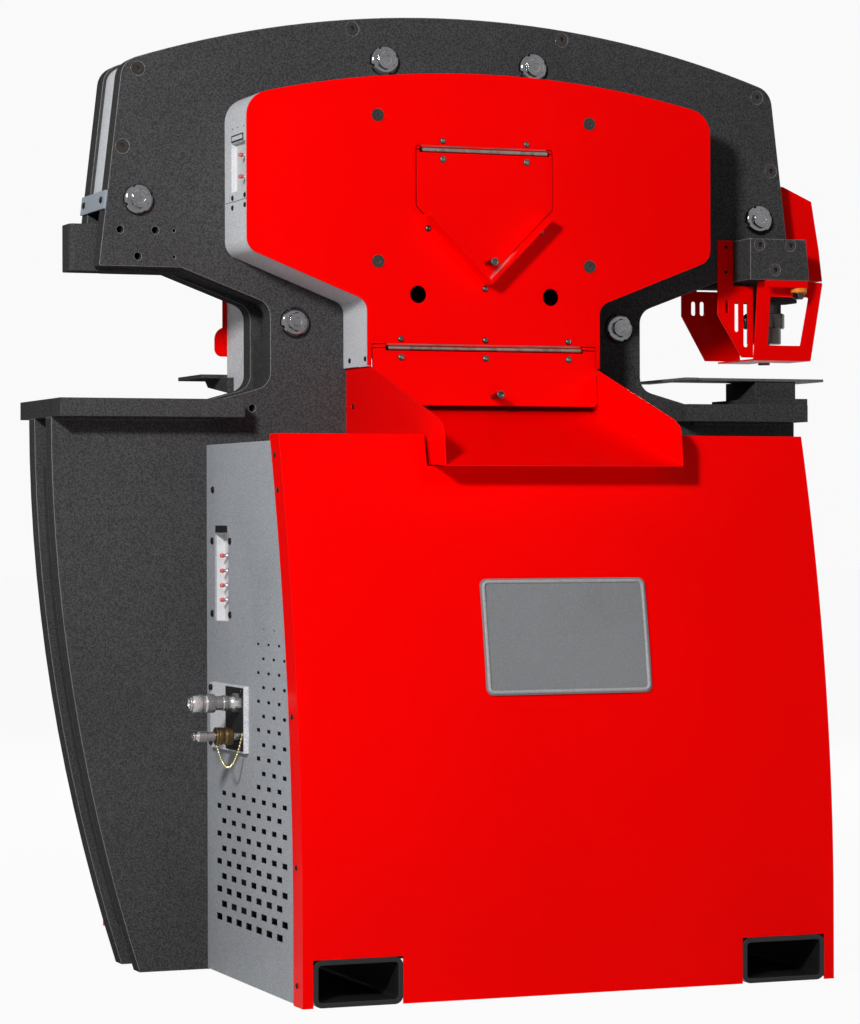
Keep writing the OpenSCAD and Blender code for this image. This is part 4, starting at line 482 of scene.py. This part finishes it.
FINISHES = {
    PLATE_COAT: "front_plate rear_plate stripper_blocks",
    CHARCOAL: "throat_fillers foot_bars left_table right_table ram_beam die_base"
              " die_holder punch_holder feed_table cylinder_barrels oil_reservoir",
    GREY: "cabinet_tops rear_side_panels control_box",
    PUNCHED_GREY: "side_panels",
    GAUGE_COAT: "gauge_table",
    PALE_GREY: "front_cover_box rear_cover_box coupler_manifold",
    ARCH_GREY: "arch_strip",
    BADGE_GREY: "badge_plate",
    RED: "front_cover_plate drop_lip chute front_panel rear_cover_plate finger_guard rear_panel"
         " guard_plates end_guard window_guard",
    ANGLE_DOOR_RED: "angle_door",
    FLAT_DOOR_RED: "flat_door",
    TUBE_BLACK: "fork_tubes",
    BLACK_STEEL: "panel_screws",
    CHROME: "guide_adjusters",
    ZINC: "hinge_leaves hinge_pins",
    STEEL: "female_coupler coupler_sleeve male_coupler die fixed_blades moving_blades cylinder_rods",
    TOOL_STEEL: "coupling_nut punch socket_screws",
    BRONZE: "guide_pads",
    BRASS: "cap_chain",
    CAP_BROWN: "coupler_cap",
    WHITE_TRAY: "grease_trays",
    ORANGE: "guard_bumpers",
    GREEN: "start_button",
    STOP_RED: "stop_button",
    FITTING_RED: "grease_fittings",
    MOTOR_BLUE: "pump_motor",
}
for finish, names in FINISHES.items():
    for name in names.split():
        nodes[name].data.materials.clear()
        nodes[name].data.materials.append(finish)

# Hubs, screws, welds, badge and tags

LEFT, FRONT, DOWN = (-1, 0, 0), (0, -1, 0), (0, 0, -1)
FLAT_DOOR_OUT = (0, -math.cos(DOOR_LEAN), math.sin(DOOR_LEAN))
PLATE_FACE, COVER_FACE = 0.076, 0.201
PANEL_X, SIDE_X, COVER_X, NECK_X, CHUTE_X, MANIFOLD_X = 0.4744, 0.4714, 0.437, 0.219, 0.214, 0.4794
GUIDES = [(0.594, 1.330), (0.3105, 1.124), (0.1423, 1.589)]
CABINET_DEPTH, BOW_DEPTH, BOW_START, BOW_HEIGHT = 0.592, 0.114, 0.120, 0.799

HUB_SIDES, NOTCH_DEGREES, NOTCH_RADIUS, NOTCH_TOP = 96, 7.0, 0.0222, 0.0112
HUB_FOOT = [(0, 0, 0), (0, 0.0262, 0), (0.0004, 0.0265, 0)]
HUB_NUT = [(0.0113, 0.0168, 1), (0.0160, 0.0173, 1), (0.0178, 0.0166, 0.75), (0.0192, 0.0150, 0),
           (0.0192, 0.0080, 0), (0.0186, 0.0074, 0), (0.0186, 0, 0)]

SMALL_HEAD, COVER_HEAD, BIG_HEAD = 0.0045, 0.0056, 0.006
PANEL_FOLD, PANEL_ROWS = 0.0276, (0.034, 0.222, 0.462, 0.827, 0.884)
ANGLE_SCREW_X, FLAT_SCREW_X = 0.0789, 0.1578
COVER_SCREWS = [(-0.107, 1.284), (0.107, 1.284), (0.0, 1.181), (-FLAT_SCREW_X, 1.091), (0.0, 1.091),
                (FLAT_SCREW_X, 1.091), (-ANGLE_SCREW_X, 1.437), (ANGLE_SCREW_X, 1.437)]
BRACKET_FACE, BRACKET_OUT = (-0.6534, 1.329), (-0.993, 0, 0.118)


def bow(z):
    """Distance of the bowed cabinet front from the middle plane: its depth less a parabola that starts a little
    above the floor."""
    rise = np.maximum(0.0, np.asarray(z, float) - BOW_START) / BOW_HEIGHT
    return CABINET_DEPTH - BOW_DEPTH * rise ** 2


def on_flat_door(x, y, z):
    """A point drawn on the upright flat door, turned with the door's lean about its hinge line."""
    dy, dz = y - FLAT_HINGE[0], z - FLAT_HINGE[1]
    return (x, FLAT_HINGE[0] + dy * math.cos(DOOR_LEAN) + dz * math.sin(DOOR_LEAN),
            FLAT_HINGE[1] - dy * math.sin(DOOR_LEAN) + dz * math.cos(DOOR_LEAN))


def hub(origin, axis):
    """Guide adjuster: a domed flange with four notches in its rim, then a chamfered hex nut. The dome is a
    quarter ellipse, and a notch pulls the rim in to one radius."""
    arc = np.linspace(0, np.pi / 2, 9)
    dome = np.stack([0.005 + 0.006 * np.sin(arc), 0.0195 + 0.007 * np.cos(arc), 0 * arc], 1).tolist()
    grid, round_u, round_v = turned(HUB_FOOT + dome + HUB_NUT, origin, axis, sides=HUB_SIDES, corners=6)
    turn = np.degrees(full_turn(HUB_SIDES))
    notch = (np.abs((turn + 22.5) % 90 - 45) < NOTCH_DEGREES)[None, :, None]
    along = ((grid - origin) @ unit(axis))[..., None]
    middle = np.asarray(origin) + along * unit(axis)
    rim = np.linalg.norm(grid - middle, axis=2, keepdims=True)
    pulled = notch & (rim > NOTCH_RADIUS) & (along < NOTCH_TOP)
    keep = np.where(pulled, NOTCH_RADIUS / np.maximum(rim, 1e-9), 1.0)
    return middle + (grid - middle) * keep, round_u, round_v


def button_head(origin, axis, r=SMALL_HEAD):
    """Domed screw head with a hex socket, all its sizes in step with its radius."""
    k = r / SMALL_HEAD
    profile = [(0, 0), (0, r), (0.0010 * k, r), (0.0019 * k, 0.86 * r), (0.0026 * k, 0.62 * r),
               (0.0028 * k, 0.5 * r), (0.0027 * k, 0.44 * r, 1), (0.0010 * k, 0.42 * r, 1), (0.0008 * k, 0)]
    return turned(profile, origin, axis, sides=24, corners=6)


def weld(start, end, r=0.005, pitch=0.0055):
    """A weld bead: a round section along a line, its radius swelling once in every pitch and wandering."""
    start, end = np.asarray(start, float), np.asarray(end, float)
    length = np.linalg.norm(end - start)
    s = np.linspace(0, 1, max(12, int(length / pitch * 7)))
    beat = np.abs(np.sin(np.pi * s * length / pitch + 1.3 * np.sin(s * length * 61)))
    width = r * (0.80 + 0.22 * beat + 0.07 * np.sin(s * length * 173 + 0.7))
    return rod_along(start + s[:, None] * (end - start), width, sides=12)


def make_hubs():
    """The hubs of both plates, left and right."""
    hubs = [hub((s * x, f * PLATE_FACE, z), (0, f, 0)) for s in (-1, 1) for f in (-1, 1) for x, z in GUIDES]
    piece("guide_hubs", hubs, CHROME, replaces="guide_adjusters", sharp=28)


def make_screw_heads():
    """Button heads in the rows that the CAD screws have; the doors' heads cover the ones in their solids."""
    heads = []
    for f in (-1, 1):
        for s in (-1, 1):
            heads += [button_head((s * PANEL_X, f * (float(bow(z)) - PANEL_FOLD), z), (s, 0, 0))
                      for z in PANEL_ROWS]
            heads.append(button_head((s * SIDE_X, f * 0.114, 0.830), (s, 0, 0), BIG_HEAD))
    heads += [button_head((-COVER_X, y, z), LEFT) for y in (-0.1215, -0.1905) for z in (1.316, 1.333)]
    heads += [button_head((-SIDE_X, y, z), LEFT, BIG_HEAD) for y in (-0.210, -0.110) for z in (0.742, 0.617)]
    heads += [button_head((-NECK_X, y, 1.056), LEFT) for y in (-0.10975, -0.18975)]
    heads.append(button_head((-CHUTE_X, -0.113, 0.976), LEFT))
    bracket_x, bracket_z = BRACKET_FACE
    heads += [button_head((bracket_x, y, bracket_z), BRACKET_OUT, BIG_HEAD) for y in (-0.056, 0.056)]
    piece("button_heads", heads, BLACK_STEEL, replaces="panel_screws")
    cover = [button_head((x, -COVER_FACE, z), FRONT, COVER_HEAD) for x, z in COVER_SCREWS]
    piece("cover_heads", cover, SCREW_STEEL, replaces="panel_screws")
    angle = [button_head((x, -COVER_FACE, 1.405), FRONT, BIG_HEAD) for x in (-ANGLE_SCREW_X, ANGLE_SCREW_X)]
    piece("angle_door_heads", angle, SCREW_STEEL, body="angle_drop_door")
    flat = [button_head(on_flat_door(x, -COVER_FACE, 1.059), FLAT_DOOR_OUT, BIG_HEAD)
            for x in (-FLAT_SCREW_X, 0.0, FLAT_SCREW_X)]
    piece("flat_door_heads", flat, SCREW_STEEL, body="flat_drop_door")


def make_welds():
    """Beads under the tables along both plates, and one across the left foot."""
    y, z, foot_x, foot_z = 0.0775, 0.9535, -0.712, 0.8705
    beads = [weld((s * x0, f * y, z), (s * x1, f * y, z))
             for f in (-1, 1) for s, x0, x1 in ((-1, 0.742, 0.458), (1, 0.458, 0.660))]
    beads.append(weld((foot_x, -0.036, foot_z), (foot_x, 0.036, foot_z), 0.006))
    piece("weld_beads", beads, CHARCOAL, sharp=60)


def make_badge_rim():
    """A round bead along a rounded rectangle that lies on the bowed badge plate."""
    width, height, corner, middle_z, plate_t, bead = 0.286, 0.180, 0.009, 0.5854, 0.004, 0.0032
    outline = rounded_rectangle(width, height, corner, 8)
    z = middle_z + outline[:, 1]
    path = np.stack([outline[:, 0], -bow(z) - plate_t, z], 1)
    piece("badge_rim", [ring_path(path, bead)], BEAD_GREY)


def make_tags_and_marks():
    """Blank tags over the grease trays and on the manifold, the seam in the cover's grey wall, and black discs
    on that wall for its holes, painted shade.
    """
    tag_t, tag_bevel, tag_y, tag_z = 0.0008, 0.0002, -0.1485, 1.4345
    tags = [left_plate(0.066, 0.012, 0.001, tag_t, tag_bevel, spot)
            for spot in ((-SIDE_X, -0.160, 0.7626), (-COVER_X, tag_y, tag_z))]
    tags.append(left_plate(0.096, 0.106, 0.002, tag_t, tag_bevel, (-MANIFOLD_X, -0.256, 0.444)))
    piece("blank_tags", tags, TAG_BLACK)
    inlay = left_plate(0.058, 0.0072, 0.0006, 0.0004, 0.0001, (-COVER_X - tag_t, tag_y, tag_z))
    piece("blank_tag_face", [inlay], PALE_GREY)
    marks = [left_plate(0.120, 0.0009, 0.0003, 0.0002, 0.00005, (-COVER_X, -0.1385, 1.3265))]
    # Black discs stand for the wall's holes: painted shade of their insides.
    hole = [(0, 0), (0, 0.0017), (0.0002, 0.0016), (0.0002, 0)]
    marks += [turned(hole, (-COVER_X, y, 1.452), LEFT, 16) for y in (-0.120, -0.151, -0.184)]
    piece("wall_marks", marks, TAG_BLACK)


make_hubs()
make_screw_heads()
make_welds()
make_badge_rim()
make_tags_and_marks()

# Chute, couplers, fittings and tooling

COUPLER_Y, SOCKET_Z, PLUG_Z = -0.285, 0.47216, 0.41716
SOCKET = [(0, 0), (0, 0.0155, 1), (0.0006, 0.016, 1), (0.0130, 0.016, 1), (0.0142, 0.0138, 0.3),
          (0.0150, 0.0125), (0.0190, 0.0112), (0.0225, 0.0112), (0.0235, 0.0130), (0.0300, 0.0130),
          (0.0312, 0.0119), (0.0826, 0.0119), (0.0832, 0.0124), (0.0872, 0.0124), (0.0880, 0.0116),
          (0.0880, 0.0088), (0.0865, 0.0080), (0.0660, 0.0078), (0.0660, 0)]
SLEEVE = [(0.0450, 0.01206), (0.0450, 0.0148), (0.0458, 0.0156), (0.0472, 0.0160), (0.0600, 0.0160),
          (0.0612, 0.0152), (0.0620, 0.0143), (0.0670, 0.0143), (0.0680, 0.0152), (0.0690, 0.0160),
          (0.0822, 0.0160), (0.0836, 0.0154), (0.0840, 0.0146), (0.0840, 0.01206), (0.0450, 0.01206)]
SLEEVE_SIDES, RIBS, RIB_ROWS, RIB_DEPTH = 96, 24, (3, 4, 9, 10), 0.022
PLUG = [(0, 0), (0, 0.0070), (0.0440, 0.0070), (0.0440, 0.0074), (0.0446, 0.0080), (0.0585, 0.0080),
        (0.0592, 0.0095), (0.0735, 0.0095), (0.0742, 0.0088), (0.0746, 0.0070), (0.0772, 0.0062),
        (0.0784, 0.0062), (0.0794, 0.0070), (0.0815, 0.0070), (0.0820, 0.0064), (0.0820, 0.0045),
        (0.0760, 0.0042), (0.0760, 0)]
CAP = [(0.0140, 0.0072), (0.0140, 0.0140), (0.0150, 0.0150), (0.0258, 0.0150), (0.0268, 0.0140),
       (0.0275, 0.0135), (0.0305, 0.0135), (0.0312, 0.0140), (0.0320, 0.0150), (0.0375, 0.0150),
       (0.0381, 0.0144), (0.0389, 0.0144), (0.0395, 0.0150), (0.0425, 0.0150), (0.0435, 0.0140),
       (0.0435, 0.0072), (0.0140, 0.0072)]
MANIFOLD_BOLT = [(0, 0), (0, 0.0052, 1), (0.004, 0.0052, 1), (0.0046, 0.0044), (0.0046, 0)]

CHAIN_FROM, CHAIN_TO = np.array([-0.5194, -0.285, 0.40016]), np.array([-0.4814, -0.304, 0.41916])
CHAIN_SAG, CHAIN_GAPS, BEAD_RADIUS, LINK_RADIUS = 0.044, 29, 0.002, 0.0008

NIPPLES = [(-0.4534, -0.147, z) for z in (0.717, 0.691, 0.666, 0.641)]
NIPPLES += [(-0.428, -0.177, z) for z in (1.4022, 1.3652)]
NIPPLE_FOOT = [(0, 0), (0, 0.0046, 1), (0.0040, 0.0046, 1), (0.0045, 0.0037), (0.0055, 0.0030),
               (0.0100, 0.0028), (0.0103, 0)]
NIPPLE_CAP = [(0.0090, 0), (0.0090, 0.0032), (0.0100, 0.0036), (0.0128, 0.0037), (0.0150, 0.0032),
              (0.0163, 0.0021), (0.0168, 0)]

NUT_TOP, NUT_SIDES, SLOT_DEPTH = (0.645, 0.0, 1.161), 144, 0.07
NUT = [(0, 0.0112), (0, 0.0370), (0.0015, 0.0385), (0.0265, 0.0385), (0.0280, 0.0370), (0.0280, 0.0322),
       (0.0300, 0.0318), (0.0330, 0.0320), (0.0555, 0.0320), (0.0570, 0.0306), (0.0570, 0.0112), (0, 0.0112)]
BOLT_TOP = (0.649, -0.134, 1.2004)
WASHER = [(0, 0.00805), (0, 0.0144), (0.0008, 0.0150), (0.0072, 0.0150), (0.0080, 0.0144), (0.0080, 0.00805),
          (0, 0.00805)]
BOLT = [(-0.020, 0), (-0.020, 0.0080), (0.0081, 0.0080), (0.0081, 0.0136), (0.0084, 0.0140), (0.0098, 0.0140),
        (0.0100, 0.0136), (0.0100, 0.0118), (0.0102, 0.0124, 1), (0.0160, 0.0124, 1), (0.0170, 0.0106),
        (0.0172, 0.0081), (0.0194, 0.0078), (0.0200, 0.0070), (0.0200, 0)]

PULL_END = -0.2308
KNOB = [(-0.018, 0), (-0.018, 0.0052), (-0.004, 0.0066), (0.0060, 0.0074), (0.0070, 0.0072), (0.0076, 0.0064),
        (0.0076, 0.0050), (0.0070, 0.0046, 1), (0.0020, 0.0044, 1), (0.0018, 0)]


def make_chute_edges():
    """Folded upper edges of the chute's walls: thin rectangles carried from the plate to the cover's face."""
    low, high, inner, outer, ends = 1.0415, 1.04385, 0.2121, 0.2139, (-0.0762, -0.2005)
    section = [(inner, low), (inner, high), (outer, high), (outer, low)]
    end_rows = [section[:2], section[:1:-1]]
    folds = [(np.array([[(s * x, y, z) for x, z in section] for y in ends]), False, True) for s in (-1, 1)]
    folds += [(np.array([[(s * x, y, z) for x, z in row] for row in end_rows]), False, False)
              for s in (-1, 1) for y in ends]
    piece("chute_edges", folds, RED)


def make_couplers():
    """Turned fittings along -x from the manifold face. Ribs are pressed into the sleeve's two wide bands."""
    high, low = (-MANIFOLD_X, COUPLER_Y, SOCKET_Z), (-MANIFOLD_X, COUPLER_Y, PLUG_Z)
    piece("coupler_socket", [turned(SOCKET, high, LEFT, 48, 6)], STEEL,
          replaces="female_coupler")
    grid, round_u, round_v = turned(SLEEVE, high, LEFT, sides=SLEEVE_SIDES)
    ribbed = np.isin(np.arange(len(SLEEVE)), RIB_ROWS)[:, None, None]
    groove = (np.cos(RIBS * full_turn(SLEEVE_SIDES)) > 0.2)[None, :, None]
    sleeve = (press_in(grid, high, LEFT, groove * ribbed, RIB_DEPTH), round_u, round_v)
    piece("sliding_sleeve", [sleeve], STEEL, body="sleeve", replaces="coupler_sleeve",
          sharp=25)
    piece("coupler_plug", [turned(PLUG, low, LEFT, 48)], STEEL, replaces="male_coupler")
    piece("dust_cap", [turned(CAP, low, LEFT, 48)], CAP_BROWN, replaces="coupler_cap")
    bolts = [turned(MANIFOLD_BOLT, (-MANIFOLD_X, y, z), LEFT, 24, 6)
             for y in (-0.299, -0.129) for z in (0.397, 0.491)]
    piece("manifold_bolts", bolts, BLACK_STEEL)


def make_bead_chain():
    """Beads on a straight line less a parabola: the radius is a row of half circles joined by a thin link."""
    half_gap = 0.5 / CHAIN_GAPS
    t = np.linspace(-half_gap, 1 + half_gap, (CHAIN_GAPS + 1) * 14 + 1)
    sag = (4 * CHAIN_SAG * t * (1 - t))[:, None] * np.array([0.0, 0.0, 1.0])
    path = CHAIN_FROM + t[:, None] * (CHAIN_TO - CHAIN_FROM) - sag
    step = np.linalg.norm(np.gradient(path, t, axis=0), axis=1) / CHAIN_GAPS
    off = np.abs(t * CHAIN_GAPS - np.round(t * CHAIN_GAPS)) * step
    width = np.maximum(np.sqrt(np.maximum(BEAD_RADIUS ** 2 - off * off, 0.0)), LINK_RADIUS)
    piece("bead_chain", [rod_along(path, width, sides=10)], BRASS, replaces="cap_chain")


def make_grease_points():
    """Grease nipples: hex foot, thin neck and a round red cap."""
    feet = [turned(NIPPLE_FOOT, spot, LEFT, 24, 6) for spot in NIPPLES]
    caps = [turned(NIPPLE_CAP, spot, LEFT, 24) for spot in NIPPLES]
    piece("nipple_feet", feet, ALUMINIUM)
    piece("nipple_caps", caps, FITTING_RED, replaces="grease_fittings")


def make_punch_tooling():
    """Coupling nut with twelve spanner slots and its sleeve, and the guard's bolt with washers and nut."""
    grid, round_u, round_v = turned(NUT, NUT_TOP, DOWN, NUT_SIDES)
    turn = np.degrees(full_turn(NUT_SIDES))
    row = np.arange(len(NUT))[:, None, None]
    slots = (np.abs((turn + 15) % 30 - 15) < 4.0)[None, :, None] * ((row > 0) & (row < 5))
    nut = (press_in(grid, NUT_TOP, DOWN, slots, SLOT_DEPTH), round_u, round_v)
    piece("slotted_nut", [nut], TOOL_STEEL, body="beam", replaces="coupling_nut", sharp=30)
    piece("orange_washer", [turned(WASHER, BOLT_TOP, DOWN)], ORANGE, replaces="guard_bumpers")
    piece("guard_bolt", [turned(BOLT, BOLT_TOP, DOWN, 48, 6)], TOOL_STEEL,
          replaces="guard_bumpers")


def make_pulls():
    """Tapered knobs with a hex socket on the two door pulls; the flat door's one leans with its door."""
    angle = turned(KNOB, (0.004, PULL_END, 1.226), FRONT, 30, 6)
    flat = turned(KNOB, on_flat_door(0.012, PULL_END, 0.992), FLAT_DOOR_OUT, 30, 6)
    piece("angle_pull_screw", [angle], SCREW_STEEL, body="angle_drop_door")
    piece("flat_pull_screw", [flat], SCREW_STEEL, body="flat_drop_door")


make_chute_edges()
make_couplers()
make_bead_chain()
make_grease_points()
make_punch_tooling()
make_pulls()

# Stage

FLOOR_REACH, FLOOR_TONE, FLOOR_SEEN = 40.0, 0.62, 0.94
AMBIENT, SKY_SEEN = 0.14, 0.95
WHITE = (1.0, 1.0, 1.0, 1.0)


def make_floor():
    """A flat square floor: lit as a pale surface, near white when seen."""
    side = np.linspace(-FLOOR_REACH, FLOOR_REACH, 5)
    x, y = np.meshgrid(side, side, indexing="ij")
    mesh = bpy.data.meshes.new("floor")
    mesh.from_pydata(np.stack([x, y, 0 * x], 2).reshape(-1, 3).tolist(), [], sheet_faces(5, 5).tolist())
    mesh.shade_smooth()
    f = Finish("pale_floor", Base_Color=(FLOOR_TONE,) * 3 + (1.0,), Roughness=0.9, Specular_IOR_Level=0.0)
    glow = f.make("ShaderNodeEmission", {}, {"Color": WHITE, "Strength": 1.0})
    lit = Value(f, f.shader.outputs[0])
    mixed = f.make("ShaderNodeMixShader", {}, {0: f.seen_plainly() * FLOOR_SEEN, 1: lit, 2: glow})
    f.link(f.tree.nodes["Material Output"].inputs["Surface"], mixed)
    mesh.materials.append(f.material)
    add_object("floor", mesh)


def make_world():
    """Near white where it is seen, as the floor is, and an even weak light everywhere else."""
    scene.world = bpy.data.worlds.new("studio")
    scene.world.use_nodes = True
    w = Nodes(scene.world.node_tree)
    back = w.tree.nodes["Background"]
    w.link(back.inputs["Color"], WHITE)
    w.link(back.inputs["Strength"], AMBIENT + w.seen_plainly() * (SKY_SEEN - AMBIENT))


def make_lamp(name, place, target, size, power):
    """A square lamp that looks at a target, unseen by the camera."""
    data = bpy.data.lights.new(name, "AREA")
    data.shape, data.size, data.energy = "SQUARE", size, power
    thing = add_object(name, data)
    thing.visible_camera = False
    back = unit(np.subtract(place, target))
    right = unit(np.cross([0.0, 0.0, 1.0], back))
    thing.matrix_world = standing(right, np.cross(back, right), back, place)


make_floor()
make_world()
make_lamp("key", (-2.58, -3.245, 2.41), (0.0, -0.2, 1.0), size=0.45, power=153.0)
make_lamp("back", (1.9, 4.2, 3.2), (0.0, 0.0, 0.9), size=3.0, power=190.0)
scene.view_settings.view_transform = "Standard"
